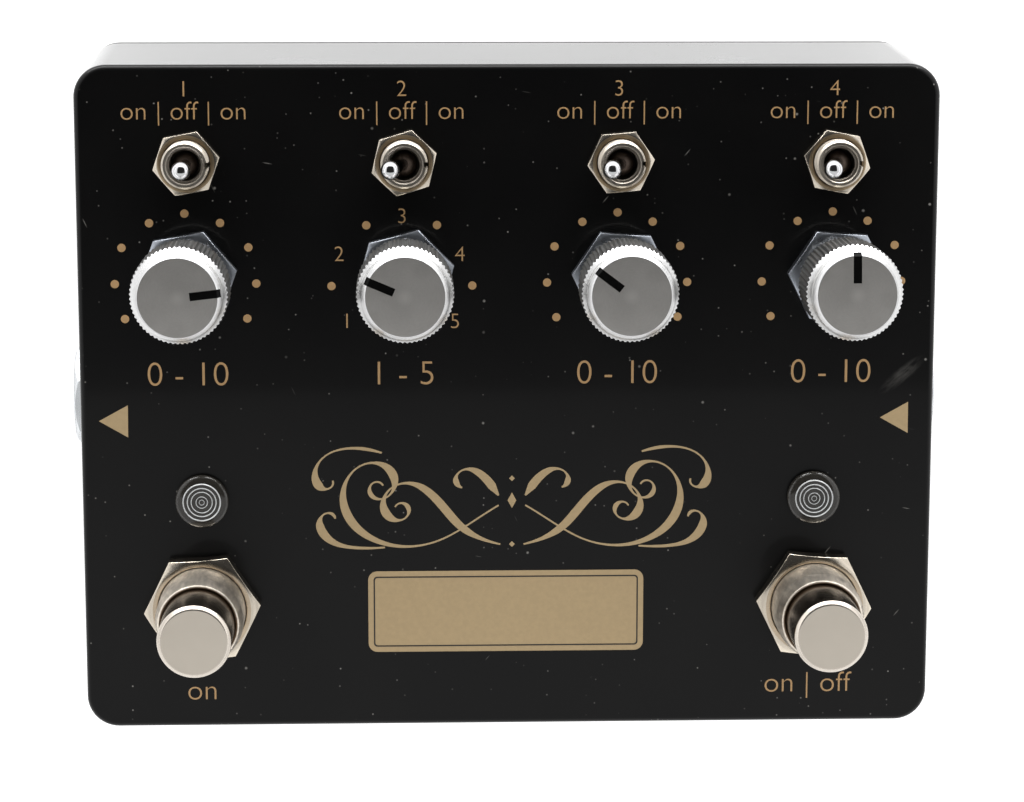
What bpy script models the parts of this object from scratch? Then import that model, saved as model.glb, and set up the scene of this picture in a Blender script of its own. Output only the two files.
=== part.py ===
"""Delay pedal: a black cast box with four knobs, four toggle switches and two footswitches.

Sizes are in metres. X runs along the box, Y runs to its back, Z is up, and the feet stand on Z = 0.
A RISE is a height above the face of the box, and a DROP is a depth below it.
"""
import math

import bmesh
import bpy
from mathutils import Matrix, Vector

# Pointer of each knob, in degrees from +X, and throw of each lever, where -1 is left and 1 is right
POINTER_ANGLES = (6.5, 157.0, 143.0, 91.0)
LEVER_STATES = (0, -1, -1, -1)

# Layout of the face
COLUMNS = len(POINTER_ANGLES)
POT_PITCH = 0.02958
POT_SHIFT = 0.00062
TOGGLE_PITCH_SHORT = 0.00022
TOGGLE_SHIFT = 0.00047
SIDE_MARGIN = 0.01433
BACK_MARGIN = 0.01315
TOGGLE_TO_POT = 0.01575
POT_TO_LED = 0.0309
LED_TO_FOOTSWITCH = 0.0149
FRONT_MARGIN = 0.0173
FOOTSWITCH_INSET = 0.00202
LED_INSET = 0.00212

# Clearances
SEAT_GAP = 0.00025
RUNNING_GAP = 0.0003
CUT_OVERRUN = 0.001

# Cast box, which is wider at its open foot
CASE_HEIGHT = 0.032
CASE_LEAN = 0.00105
WALL_THICKNESS = 0.0023
FACE_THICKNESS = 0.0023
CORNER_RADIUS = 0.0044
FACE_EDGE_RADIUS = 0.0008
BOSS_RADIUS = 0.0038

# Base plate, its screws and the feet
LID_THICKNESS = 0.002
SCREW_INSET = 0.0052
SCREW_RADIUS = 0.0015
SCREW_LENGTH = 0.0095
SCREW_HEAD_RADIUS = 0.0028
SCREW_HEAD_DEPTH = 0.0014
SCREW_SLOT_WIDTH = 0.0007
SCREW_SLOT_LENGTH = 0.003
SCREW_SLOT_DEPTH = 0.0007
FOOT_HEIGHT = 0.0035
FOOT_RADIUS = 0.0058
FOOT_TAPER = 0.0007
FOOT_INSET = 0.014

# Rotary controls
POT_CAN_RADIUS = 0.00825
POT_CAN_DEPTH = 0.008
POT_BUSHING_RADIUS = 0.0045
POT_BUSHING_RISE = 0.006
POT_LEG_WIDTH = 0.011
POT_LEG_LENGTH = 0.007
POT_LEG_PROUD = 0.001
SHAFT_RADIUS = 0.003
SHAFT_RISE = 0.0165
SHAFT_DROP = 0.006
SHAFT_FLAT_LENGTH = 0.008
SHAFT_FLAT_DEPTH = 0.0012
POT_NUT_FLATS = 0.012
POT_NUT_THICKNESS = 0.002

# Knobs
KNOB_RADIUS = 0.00645
KNOB_TOOTH_DEPTH = 0.0003
KNOB_TEETH = 30
KNOB_FACE_RADIUS = 0.0052
KNOB_BOTTOM_RISE = 0.0085
KNOB_RIM_RISE = 0.017
KNOB_RIM_BEVEL = 0.00065
KNOB_NECK_RADIUS = 0.0058
KNOB_TOP_RISE = 0.0197
KNOB_SKIRT_WALL = 0.0014
KNOB_SKIRT_DEPTH = 0.0025
POINTER_WIDTH = 0.0011
POINTER_START = 0.0016
POINTER_DEPTH = 0.0004

# Toggle switches
TOGGLE_BODY_LENGTH = 0.013
TOGGLE_BODY_WIDTH = 0.0079
TOGGLE_BODY_HEIGHT = 0.0106
TOGGLE_BUSHING_RADIUS = 0.003175
TOGGLE_BUSHING_RISE = 0.0046
TOGGLE_BORE_RADIUS = 0.0021
TOGGLE_NUT_FLATS = 0.008
TOGGLE_NUT_THICKNESS = 0.0019
LEVER_PIVOT_RISE = 0.0022
LEVER_LENGTH = 0.0093
LEVER_TIP_RADIUS = 0.00125
LEVER_STEM_RADIUS = 0.00085
LEVER_TAIL_RADIUS = 0.0006
LEVER_TAIL_LENGTH = 0.0044
LEVER_THROW_ANGLE = 11.4

# Footswitches
FOOTSWITCH_BODY_WIDTH = 0.0168
FOOTSWITCH_BODY_HEIGHT = 0.0145
FOOTSWITCH_BUSHING_RADIUS = 0.006
FOOTSWITCH_BUSHING_RISE = 0.0112
FOOTSWITCH_BUSHING_CHAMFER = 0.0005
FOOTSWITCH_NUT_FLATS = 0.014
FOOTSWITCH_NUT_THICKNESS = 0.0028
FOOTSWITCH_LUG_WIDTH = 0.0022
FOOTSWITCH_LUG_LENGTH = 0.0045
FOOTSWITCH_LUG_THICKNESS = 0.0008
PLUNGER_RADIUS = 0.00495
PLUNGER_RISE = 0.0204
PLUNGER_EDGE = 0.0007
PLUNGER_TRAVEL = 0.003
PLUNGER_SHOULDER_DROP = 0.0002
PLUNGER_STEM_RADIUS = 0.0022
PLUNGER_STEM_LENGTH = 0.006
SPRING_WIRE_RADIUS = 0.0004
SPRING_TURNS = 5
SPRING_STEPS = 9

# Lamps
LENS_RADIUS = 0.00365
LENS_RISE = 0.0015
LENS_EDGE_RISE = 0.0009
LENS_BARREL_RADIUS = 0.0031
LENS_BARREL_DROP = 0.0085
LED_RADIUS = 0.00245
LED_TOP_DROP = 0.001
LED_COLLAR_RADIUS = 0.0029
LED_COLLAR_THICKNESS = 0.001
LED_LEG_WIDTH = 0.0005
LED_LEG_SPACING = 0.00254
LED_LEG_LENGTH = 0.004

# Sockets in the end walls
JACK_BEHIND_MIDDLE = -0.0018
JACK_DROP = 0.017
JACK_BODY_LENGTH = 0.0265
JACK_BODY_WIDTH = 0.015
JACK_BODY_HEIGHT = 0.0125
JACK_BACK_WALL = 0.0015
JACK_BUSHING_RADIUS = 0.00476
JACK_BORE_RADIUS = 0.0033
JACK_NUT_FLATS = 0.0127
JACK_NUT_THICKNESS = 0.0014
JACK_THREAD_SHORT = 0.0001

# Power inlet in the right end wall, close under the circuit board
DC_BEHIND_MIDDLE = 0.024
DC_BODY_LENGTH = 0.0125
DC_BODY_WIDTH = 0.0105
DC_BACK_WALL = 0.0015
DC_BUSHING_RADIUS = 0.0055
DC_BORE_RADIUS = 0.0029
DC_PIN_RADIUS = 0.00105
DC_PIN_SHORT = 0.001
DC_NUT_FLATS = 0.013
DC_NUT_THICKNESS = 0.0015

# Circuit board and what stands under it
BOARD_THICKNESS = 0.0016
BOARD_SIDE_MARGIN = 0.0017
BOARD_FRONT_MARGIN = 0.0015
BOARD_BACK_MARGIN = 0.0025
CHIP_WIDTH = 0.014
CHIP_HEIGHT = 0.0016
CAPACITOR_RADIUS = 0.0032
CAPACITOR_HEIGHT = 0.007
CAPACITOR_EDGE = 0.0004
CAPACITOR_BESIDE_CHIP = 0.016

# Counts of sides on round work, and the smallest distance that keeps two points apart
CORNER_STEPS = 5
EDGE_STEPS = 3
HOLE_SIDES = 20
ROUND_SIDES = 24
SMALL_SIDES = 16
HIDDEN_SIDES = 12
HEXAGON_SIDES = 6
MERGE_DISTANCE = 0.000001
SMOOTH_ANGLE = 35.0
NUT_CHAMFER_ANGLE = 30.0

# Turn of each hexagon nut about its axis, in degrees
POT_NUT_ANGLES = (10.2, 14.8, -4.1, -4.0)
TOGGLE_NUT_ANGLES = (10.6, 16.9, 5.0, -10.8)
FOOTSWITCH_NUT_ANGLES = (3.9, -4.2)
JACK_NUT_ANGLE = 24.0
DC_NUT_ANGLE = 0.0

# Places worked out from the sizes above
POT_SPREAD = (COLUMNS - 1) * POT_PITCH
FACE_LENGTH = POT_SPREAD + 2 * SIDE_MARGIN
FACE_WIDTH = BACK_MARGIN + TOGGLE_TO_POT + POT_TO_LED + LED_TO_FOOTSWITCH + FRONT_MARGIN
TOGGLE_Y = FACE_WIDTH / 2 - BACK_MARGIN
POT_Y = TOGGLE_Y - TOGGLE_TO_POT
LED_Y = POT_Y - POT_TO_LED
FOOTSWITCH_Y = LED_Y - LED_TO_FOOTSWITCH
FOOT_HALF_X = FACE_LENGTH / 2 + CASE_LEAN
FOOT_HALF_Y = FACE_WIDTH / 2 + CASE_LEAN
LID_Z = FOOT_HEIGHT + SEAT_GAP
CASE_Z = LID_Z + LID_THICKNESS + SEAT_GAP
FACE_Z = CASE_Z + CASE_HEIGHT
CEILING_DROP = FACE_THICKNESS + SEAT_GAP
BOARD_TOP_DROP = CEILING_DROP + TOGGLE_BODY_HEIGHT + RUNNING_GAP
BOARD_UNDER_DROP = BOARD_TOP_DROP + BOARD_THICKNESS
DC_DROP = BOARD_UNDER_DROP + RUNNING_GAP + DC_BODY_WIDTH / 2
WALL_ANGLE = math.atan(CASE_LEAN / CASE_HEIGHT)
LEAN_PER_DEPTH = CASE_LEAN / CASE_HEIGHT


def make_material(name, colour, roughness, metallic, alpha=1.0):
    """A plain Principled material."""
    material = bpy.data.materials.new(name)
    material.use_nodes = True
    shader = material.node_tree.nodes["Principled BSDF"]
    shader.inputs["Base Color"].default_value = (*colour, 1.0)
    shader.inputs["Roughness"].default_value = roughness
    shader.inputs["Metallic"].default_value = metallic
    shader.inputs["Alpha"].default_value = alpha
    material.diffuse_color = (*colour, alpha)
    return material


def new_object(name, mesh):
    """An object for the mesh, linked to the scene."""
    thing = bpy.data.objects.new(name, mesh)
    bpy.context.scene.collection.objects.link(thing)
    return thing


def from_bmesh(bm, name="solid"):
    """An object made from the bmesh, with its faces pointing out."""
    bmesh.ops.remove_doubles(bm, verts=bm.verts, dist=MERGE_DISTANCE)
    bmesh.ops.recalc_face_normals(bm, faces=bm.faces)
    mesh = bpy.data.meshes.new(name)
    bm.to_mesh(mesh)
    bm.free()
    return new_object(name, mesh)


def turned(profile, sides=ROUND_SIDES):
    """A solid of revolution about Z, from (radius, height) points that start and end on the axis."""
    bm = bmesh.new()
    verts = [bm.verts.new((radius, 0, height)) for radius, height in profile]
    edges = [bm.edges.new(pair) for pair in zip(verts, verts[1:])]
    bmesh.ops.spin(
        bm, geom=verts + edges, cent=(0, 0, 0), axis=(0, 0, 1), angle=math.tau, steps=sides, use_merge=True
    )
    return from_bmesh(bm)


def lofted(rings):
    """A solid skinned over rings with equal numbers of points, closed by a flat face at each end."""
    bm = bmesh.new()
    loops = [[bm.verts.new(point) for point in ring] for ring in rings]
    for lower, upper in zip(loops, loops[1:]):
        for i in range(len(lower)):
            j = (i + 1) % len(lower)
            bm.faces.new((lower[i], lower[j], upper[j], upper[i]))
    bm.faces.new(loops[0])
    bm.faces.new(loops[-1])
    return from_bmesh(bm)


def block(low, high):
    """A box between two corners."""
    low, high = Vector(low), Vector(high)
    bm = bmesh.new()
    size = high - low
    place = Matrix.Translation((low + high) / 2) @ Matrix.Diagonal((*size, 1.0))
    bmesh.ops.create_cube(bm, size=1.0, matrix=place)
    return from_bmesh(bm)


def pegs(places, radius, low, high, sides=HOLE_SIDES):
    """Upright cylinders at the places, in one object."""
    bm = bmesh.new()
    for x, y in places:
        middle = Matrix.Translation((x, y, (low + high) / 2))
        bmesh.ops.create_cone(
            bm, cap_ends=True, segments=sides, radius1=radius, radius2=radius, depth=high - low, matrix=middle
        )
    return from_bmesh(bm)


def combine(body, tool, operation):
    """Applies one Boolean of the tool to the body, and removes the tool."""
    step = body.modifiers.new("Boolean", "BOOLEAN")
    step.operation = operation
    step.solver = "EXACT"
    step.object = tool
    bpy.context.view_layer.update()
    graph = bpy.context.evaluated_depsgraph_get()
    mesh = bpy.data.meshes.new_from_object(body.evaluated_get(graph))
    before = body.data
    body.modifiers.clear()
    body.data = mesh
    bpy.data.meshes.remove(before)
    used = tool.data
    bpy.data.objects.remove(tool)
    bpy.data.meshes.remove(used)
    return body


def cut(body, tool):
    """The body with the tool's shape taken out."""
    return combine(body, tool, "DIFFERENCE")


def join(body, tool):
    """The body and the tool as one solid."""
    return combine(body, tool, "UNION")


def finished_mesh(body, material):
    """The body's mesh with its material and shading, without the object."""
    mesh = body.data
    bpy.data.objects.remove(body)
    mesh.materials.clear()
    mesh.materials.append(material)
    mesh.shade_smooth()
    mesh.set_sharp_from_angle(angle=math.radians(SMOOTH_ANGLE))
    return mesh


def put(name, mesh, place, turn=(0, 0, 0)):
    """A named piece at its place, turned by Euler angles."""
    mesh.name = name
    piece = new_object(name, mesh)
    piece.location = place
    piece.rotation_euler = turn
    return piece


def row(count, pitch, shift, y):
    """Places along X in a row that is centred on the shift."""
    return [((i - (count - 1) / 2) * pitch + shift, y) for i in range(count)]


def rounded_outline(half_x, half_y, radius, height):
    """Points of a rectangle with round corners, at a height."""
    points = []
    corners = ((1, 1, 0), (-1, 1, 1), (-1, -1, 2), (1, -1, 3))
    for side_x, side_y, quarter in corners:
        for i in range(CORNER_STEPS + 1):
            angle = math.pi / 2 * (quarter + i / CORNER_STEPS)
            x = side_x * (half_x - radius) + radius * math.cos(angle)
            y = side_y * (half_y - radius) + radius * math.sin(angle)
            points.append((x, y, height))
    return points


def wall_half(half_face, drop):
    """Half the box's outer length or width at a depth below the face."""
    return half_face + LEAN_PER_DEPTH * drop


def screw_places():
    """The four screws' places, seen from above."""
    x, y = FOOT_HALF_X - SCREW_INSET, FOOT_HALF_Y - SCREW_INSET
    return [(-x, -y), (x, -y), (x, y), (-x, y)]


def wall_turn(side):
    """Euler angles that point local Z out of an end wall, square to its lean."""
    return (0, side * (math.pi / 2 - WALL_ANGLE), 0)


def wall_place(side, y, drop):
    """The point on the outside of an end wall at a depth below the face."""
    return (side * wall_half(FACE_LENGTH / 2, drop), y, FACE_Z - drop)


def case_ring(inset, drop):
    """The box's outline at a depth below the face, drawn in by an inset."""
    half_x = wall_half(FACE_LENGTH / 2, drop) - inset
    half_y = wall_half(FACE_WIDTH / 2, drop) - inset
    return rounded_outline(half_x, half_y, CORNER_RADIUS - inset, -drop)


def build_enclosure(material):
    """The cast box, open below, with its bosses and every hole."""
    rings = [case_ring(0, CASE_HEIGHT)]
    for i in range(EDGE_STEPS + 1):
        angle = math.pi / 2 * i / EDGE_STEPS
        inset = FACE_EDGE_RADIUS * (1 - math.cos(angle))
        rings.append(case_ring(inset, FACE_EDGE_RADIUS * (1 - math.sin(angle))))
    body = lofted(rings)

    mouth = case_ring(WALL_THICKNESS, CASE_HEIGHT + CUT_OVERRUN)
    cavity = lofted([mouth, case_ring(WALL_THICKNESS, FACE_THICKNESS)])
    cavity = cut(cavity, pegs(screw_places(), BOSS_RADIUS, -CASE_HEIGHT - 2 * CUT_OVERRUN, 0, SMALL_SIDES))
    body = cut(body, cavity)

    pilot_top = -CASE_HEIGHT + SCREW_LENGTH - LID_THICKNESS + CUT_OVERRUN
    pilot_radius = SCREW_RADIUS + SEAT_GAP
    body = cut(body, pegs(screw_places(), pilot_radius, -CASE_HEIGHT - CUT_OVERRUN, pilot_top, HIDDEN_SIDES))

    face_holes = (
        (POT_PLACES, POT_BUSHING_RADIUS),
        (TOGGLE_PLACES, TOGGLE_BUSHING_RADIUS),
        (FOOTSWITCH_PLACES, FOOTSWITCH_BUSHING_RADIUS),
        (LED_PLACES, LENS_BARREL_RADIUS),
    )
    for places, radius in face_holes:
        body = cut(body, pegs(places, radius + SEAT_GAP, -FACE_THICKNESS - CUT_OVERRUN, CUT_OVERRUN))

    wall_holes = (
        (-1, JACK_BEHIND_MIDDLE, JACK_DROP, JACK_BUSHING_RADIUS),
        (1, JACK_BEHIND_MIDDLE, JACK_DROP, JACK_BUSHING_RADIUS),
        (1, DC_BEHIND_MIDDLE, DC_DROP, DC_BUSHING_RADIUS),
    )
    for side, y, drop, radius in wall_holes:
        hole = pegs([(0, 0)], radius + SEAT_GAP, -WALL_THICKNESS - CUT_OVERRUN, CUT_OVERRUN)
        hole.location = Vector(wall_place(side, y, drop)) - Vector((0, 0, FACE_Z))
        hole.rotation_euler = wall_turn(side)
        body = cut(body, hole)
    put("enclosure", finished_mesh(body, material), (0, 0, FACE_Z))


def build_base_plate(material):
    """The flat plate that closes the box, with countersunk holes."""
    rings = [
        rounded_outline(FOOT_HALF_X, FOOT_HALF_Y, CORNER_RADIUS, 0),
        rounded_outline(FOOT_HALF_X, FOOT_HALF_Y, CORNER_RADIUS, LID_THICKNESS),
    ]
    body = lofted(rings)
    slope = (SCREW_HEAD_RADIUS - SCREW_RADIUS) / SCREW_HEAD_DEPTH
    mouth = SCREW_HEAD_RADIUS + SEAT_GAP + slope * CUT_OVERRUN
    neck = SCREW_RADIUS + SEAT_GAP
    top = LID_THICKNESS + CUT_OVERRUN
    sink = [(0, -CUT_OVERRUN), (mouth, -CUT_OVERRUN), (neck, SCREW_HEAD_DEPTH), (neck, top), (0, top)]
    for x, y in screw_places():
        hole = turned(sink, SMALL_SIDES)
        hole.location = (x, y, 0)
        body = cut(body, hole)
    put("base_plate", finished_mesh(body, material), (0, 0, LID_Z))


def build_screws(material):
    """The four countersunk screws that hold the base plate."""
    profile = [(0, 0), (SCREW_HEAD_RADIUS, 0), (SCREW_RADIUS, SCREW_HEAD_DEPTH), (SCREW_RADIUS, SCREW_LENGTH)]
    profile.append((0, SCREW_LENGTH))
    body = turned(profile, HIDDEN_SIDES)
    long, thin = SCREW_SLOT_LENGTH / 2, SCREW_SLOT_WIDTH / 2
    cross = join(
        block((-long, -thin, -CUT_OVERRUN), (long, thin, SCREW_SLOT_DEPTH)),
        block((-thin, -long, -CUT_OVERRUN), (thin, long, SCREW_SLOT_DEPTH)),
    )
    mesh = finished_mesh(cut(body, cross), material)
    for number, (x, y) in enumerate(screw_places(), 1):
        put(f"lid_screw_{number}", mesh, (x, y, LID_Z))


def build_feet(material):
    """The four rubber feet."""
    wide, narrow = FOOT_RADIUS, FOOT_RADIUS - FOOT_TAPER
    profile = [(0, 0), (narrow, 0), (wide, FOOT_TAPER), (wide, FOOT_HEIGHT), (0, FOOT_HEIGHT)]
    mesh = finished_mesh(turned(profile, HOLE_SIDES), material)
    x, y = FOOT_HALF_X - FOOT_INSET, FOOT_HALF_Y - FOOT_INSET
    for number, place in enumerate(((-x, -y, 0), (x, -y, 0), (x, y, 0), (-x, y, 0)), 1):
        put(f"foot_{number}", mesh, place)


def nut_solid(flats, thickness, bolt_radius, sides):
    """A hexagon nut with a chamfered upper face, standing on Z = 0."""
    corner = flats / math.sqrt(3)
    slope = math.tan(math.radians(NUT_CHAMFER_ANGLE))
    wide = corner + CUT_OVERRUN
    cone = [
        (0, -CUT_OVERRUN),
        (wide, -CUT_OVERRUN),
        (wide, thickness + (flats / 2 - wide) * slope),
        (0, thickness + flats / 2 * slope),
    ]
    body = turned([(0, 0), (corner, 0), (corner, thickness), (0, thickness)], HEXAGON_SIDES)
    body = combine(body, turned(cone, ROUND_SIDES), "INTERSECT")
    return cut(body, pegs([(0, 0)], bolt_radius + SEAT_GAP, -CUT_OVERRUN, thickness + CUT_OVERRUN, sides))


def build_pots(body_material, shaft_material, nut_material):
    """The rotary controls: can and bushing, shaft, and nut."""
    bore = SHAFT_RADIUS + SEAT_GAP
    can_foot = -CEILING_DROP - POT_CAN_DEPTH
    floor = -SHAFT_DROP - RUNNING_GAP
    profile = [
        (0, can_foot),
        (POT_CAN_RADIUS, can_foot),
        (POT_CAN_RADIUS, -CEILING_DROP),
        (POT_BUSHING_RADIUS, -CEILING_DROP),
        (POT_BUSHING_RADIUS, POT_BUSHING_RISE),
        (bore, POT_BUSHING_RISE),
        (bore, floor),
        (0, floor),
    ]
    leg_foot = RUNNING_GAP - BOARD_TOP_DROP
    leg_top = can_foot + POT_CAN_DEPTH / 2
    leg_x = POT_LEG_WIDTH / 2
    leg_y = -POT_CAN_RADIUS - POT_LEG_PROUD
    legs = block((-leg_x, leg_y, leg_foot), (leg_x, leg_y + POT_LEG_LENGTH, leg_top))
    body_mesh = finished_mesh(join(turned(profile, SMALL_SIDES), legs), body_material)

    profile = [(0, -SHAFT_DROP), (SHAFT_RADIUS, -SHAFT_DROP), (SHAFT_RADIUS, SHAFT_RISE), (0, SHAFT_RISE)]
    shaft = turned(profile, SMALL_SIDES)
    flat_low = SHAFT_RISE - SHAFT_FLAT_LENGTH
    flat_edge = SHAFT_RADIUS - SHAFT_FLAT_DEPTH
    reach = SHAFT_RADIUS + CUT_OVERRUN
    flat = block((flat_edge, -reach, flat_low), (reach, reach, SHAFT_RISE + CUT_OVERRUN))
    shaft_mesh = finished_mesh(cut(shaft, flat), shaft_material)

    nut = nut_solid(POT_NUT_FLATS, POT_NUT_THICKNESS, POT_BUSHING_RADIUS, SMALL_SIDES)
    nut_mesh = finished_mesh(nut, nut_material)
    for i, (x, y) in enumerate(POT_PLACES):
        number = i + 1
        put(f"pot_body_{number}", body_mesh, (x, y, FACE_Z))
        put(f"pot_shaft_{number}", shaft_mesh, (x, y, FACE_Z), (0, 0, math.radians(POINTER_ANGLES[i])))
        nut_turn = (0, 0, math.radians(POT_NUT_ANGLES[i]))
        put(f"pot_nut_{number}", nut_mesh, (x, y, FACE_Z + SEAT_GAP), nut_turn)


def round_ring(radius, height):
    """A ring with as many points as the knob's toothed outline."""
    points = []
    for i in range(2 * KNOB_TEETH):
        angle = math.pi * i / KNOB_TEETH
        points.append((radius * math.cos(angle), radius * math.sin(angle), height))
    return points


def knurled_ring(height):
    """The knob's toothed outline at a height."""
    points = []
    for i in range(2 * KNOB_TEETH):
        angle = math.pi * i / KNOB_TEETH
        radius = KNOB_RADIUS - KNOB_TOOTH_DEPTH * (i % 2)
        points.append((radius * math.cos(angle), radius * math.sin(angle), height))
    return points


def build_knobs(material):
    """The knurled knobs, with a plain neck under the face, a hollow foot and a pointer groove."""
    neck_top = KNOB_TOP_RISE - KNOB_NECK_RADIUS + KNOB_FACE_RADIUS
    rings = [
        knurled_ring(KNOB_BOTTOM_RISE),
        knurled_ring(KNOB_RIM_RISE),
        round_ring(KNOB_NECK_RADIUS, KNOB_RIM_RISE + KNOB_RIM_BEVEL),
        round_ring(KNOB_NECK_RADIUS, neck_top),
        round_ring(KNOB_FACE_RADIUS, KNOB_TOP_RISE),
    ]
    body = lofted(rings)
    skirt = KNOB_RADIUS - KNOB_SKIRT_WALL
    bore = SHAFT_RADIUS + SEAT_GAP
    skirt_top = KNOB_BOTTOM_RISE + KNOB_SKIRT_DEPTH
    hollow = [
        (0, KNOB_BOTTOM_RISE - CUT_OVERRUN),
        (skirt, KNOB_BOTTOM_RISE - CUT_OVERRUN),
        (skirt, skirt_top),
        (bore, skirt_top),
        (bore, SHAFT_RISE + SEAT_GAP),
        (0, SHAFT_RISE + SEAT_GAP),
    ]
    body = cut(body, turned(hollow, SMALL_SIDES))
    groove_low = (POINTER_START, -POINTER_WIDTH / 2, KNOB_TOP_RISE - POINTER_DEPTH)
    groove_high = (KNOB_RADIUS + CUT_OVERRUN, POINTER_WIDTH / 2, KNOB_TOP_RISE + CUT_OVERRUN)
    body = cut(body, block(groove_low, groove_high))
    mesh = finished_mesh(body, material)
    for i, (x, y) in enumerate(POT_PLACES):
        put(f"knob_{i + 1}", mesh, (x, y, FACE_Z), (0, 0, math.radians(POINTER_ANGLES[i])))


def lever_profile():
    """The lever's outline, from its tail through the pivot ball to its tip, with the pivot at height 0."""
    pivot = TOGGLE_BORE_RADIUS - RUNNING_GAP
    profile = [(0, -LEVER_TAIL_LENGTH), (LEVER_TAIL_RADIUS, -LEVER_TAIL_LENGTH)]
    for degrees in (-60, -25, 25, 60):
        angle = math.radians(degrees)
        profile.append((pivot * math.cos(angle), pivot * math.sin(angle)))
    profile.append((LEVER_STEM_RADIUS, LEVER_LENGTH - 2 * LEVER_TIP_RADIUS))
    for degrees in (-35, 0, 35, 65):
        angle = math.radians(degrees)
        rise = LEVER_TIP_RADIUS * math.sin(angle)
        profile.append((LEVER_TIP_RADIUS * math.cos(angle), LEVER_LENGTH + rise))
    profile.append((0, LEVER_LENGTH + LEVER_TIP_RADIUS))
    return profile


def build_toggles(body_material, nut_material, lever_material):
    """The toggle switches: body and bushing, nut, and lever."""
    half_x, half_y = TOGGLE_BODY_LENGTH / 2, TOGGLE_BODY_WIDTH / 2
    foot = -CEILING_DROP - TOGGLE_BODY_HEIGHT
    body = block((-half_x, -half_y, foot), (half_x, half_y, -CEILING_DROP))
    body = join(body, pegs([(0, 0)], TOGGLE_BUSHING_RADIUS, foot / 2, TOGGLE_BUSHING_RISE))
    bore_floor = LEVER_PIVOT_RISE - LEVER_TAIL_LENGTH - CUT_OVERRUN
    body = cut(body, pegs([(0, 0)], TOGGLE_BORE_RADIUS, bore_floor, TOGGLE_BUSHING_RISE + CUT_OVERRUN))
    body_mesh = finished_mesh(body, body_material)
    nut = nut_solid(TOGGLE_NUT_FLATS, TOGGLE_NUT_THICKNESS, TOGGLE_BUSHING_RADIUS, HOLE_SIDES)
    nut_mesh = finished_mesh(nut, nut_material)
    lever_mesh = finished_mesh(turned(lever_profile(), HIDDEN_SIDES), lever_material)
    for i, (x, y) in enumerate(TOGGLE_PLACES):
        number = i + 1
        put(f"toggle_body_{number}", body_mesh, (x, y, FACE_Z))
        nut_turn = (0, 0, math.radians(TOGGLE_NUT_ANGLES[i]))
        put(f"toggle_nut_{number}", nut_mesh, (x, y, FACE_Z + SEAT_GAP), nut_turn)
        lever_turn = (0, math.radians(LEVER_THROW_ANGLE * LEVER_STATES[i]), 0)
        put(f"toggle_lever_{number}", lever_mesh, (x, y, FACE_Z + LEVER_PIVOT_RISE), lever_turn)


def footswitch_body_solid(spring_floor):
    """The switch block with its bushing, bore and solder lugs."""
    half = FOOTSWITCH_BODY_WIDTH / 2
    foot = -CEILING_DROP - FOOTSWITCH_BODY_HEIGHT
    body = block((-half, -half, foot), (half, half, -CEILING_DROP))
    edge = FOOTSWITCH_BUSHING_CHAMFER
    bushing = [
        (0, foot / 2),
        (FOOTSWITCH_BUSHING_RADIUS, foot / 2),
        (FOOTSWITCH_BUSHING_RADIUS, FOOTSWITCH_BUSHING_RISE - edge),
        (FOOTSWITCH_BUSHING_RADIUS - edge, FOOTSWITCH_BUSHING_RISE),
        (0, FOOTSWITCH_BUSHING_RISE),
    ]
    body = join(body, turned(bushing))
    bore = PLUNGER_RADIUS + RUNNING_GAP
    body = cut(body, pegs([(0, 0)], bore, spring_floor, FOOTSWITCH_BUSHING_RISE + CUT_OVERRUN, ROUND_SIDES))
    pitch = half - FOOTSWITCH_LUG_WIDTH
    half_x, half_y = FOOTSWITCH_LUG_WIDTH / 2, FOOTSWITCH_LUG_THICKNESS / 2
    for x in (-pitch, 0, pitch):
        for y in (-pitch, 0, pitch):
            low = (x - half_x, y - half_y, foot - FOOTSWITCH_LUG_LENGTH)
            high = (x + half_x, y + half_y, foot + CUT_OVERRUN)
            body = join(body, block(low, high))
    return body


def spring_mesh(material, low, high):
    """A round wire spring about Z as one closed tube."""
    coil = PLUNGER_STEM_RADIUS + (PLUNGER_RADIUS - PLUNGER_STEM_RADIUS) / 2
    count = SPRING_TURNS * SPRING_STEPS
    curve = bpy.data.curves.new("spring", "CURVE")
    curve.dimensions = "3D"
    curve.bevel_depth = SPRING_WIRE_RADIUS
    curve.bevel_resolution = 1
    curve.use_fill_caps = True
    spline = curve.splines.new("POLY")
    spline.points.add(count)
    start, rise = low + SPRING_WIRE_RADIUS, high - low - 2 * SPRING_WIRE_RADIUS
    for i, point in enumerate(spline.points):
        angle = math.tau * i / SPRING_STEPS
        point.co = (coil * math.cos(angle), coil * math.sin(angle), start + rise * i / count, 1.0)
    holder = new_object("spring", curve)
    graph = bpy.context.evaluated_depsgraph_get()
    mesh = bpy.data.meshes.new_from_object(holder.evaluated_get(graph))
    bpy.data.objects.remove(holder)
    bm = bmesh.new()
    bm.from_mesh(mesh)
    return finished_mesh(from_bmesh(bm), material)


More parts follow.
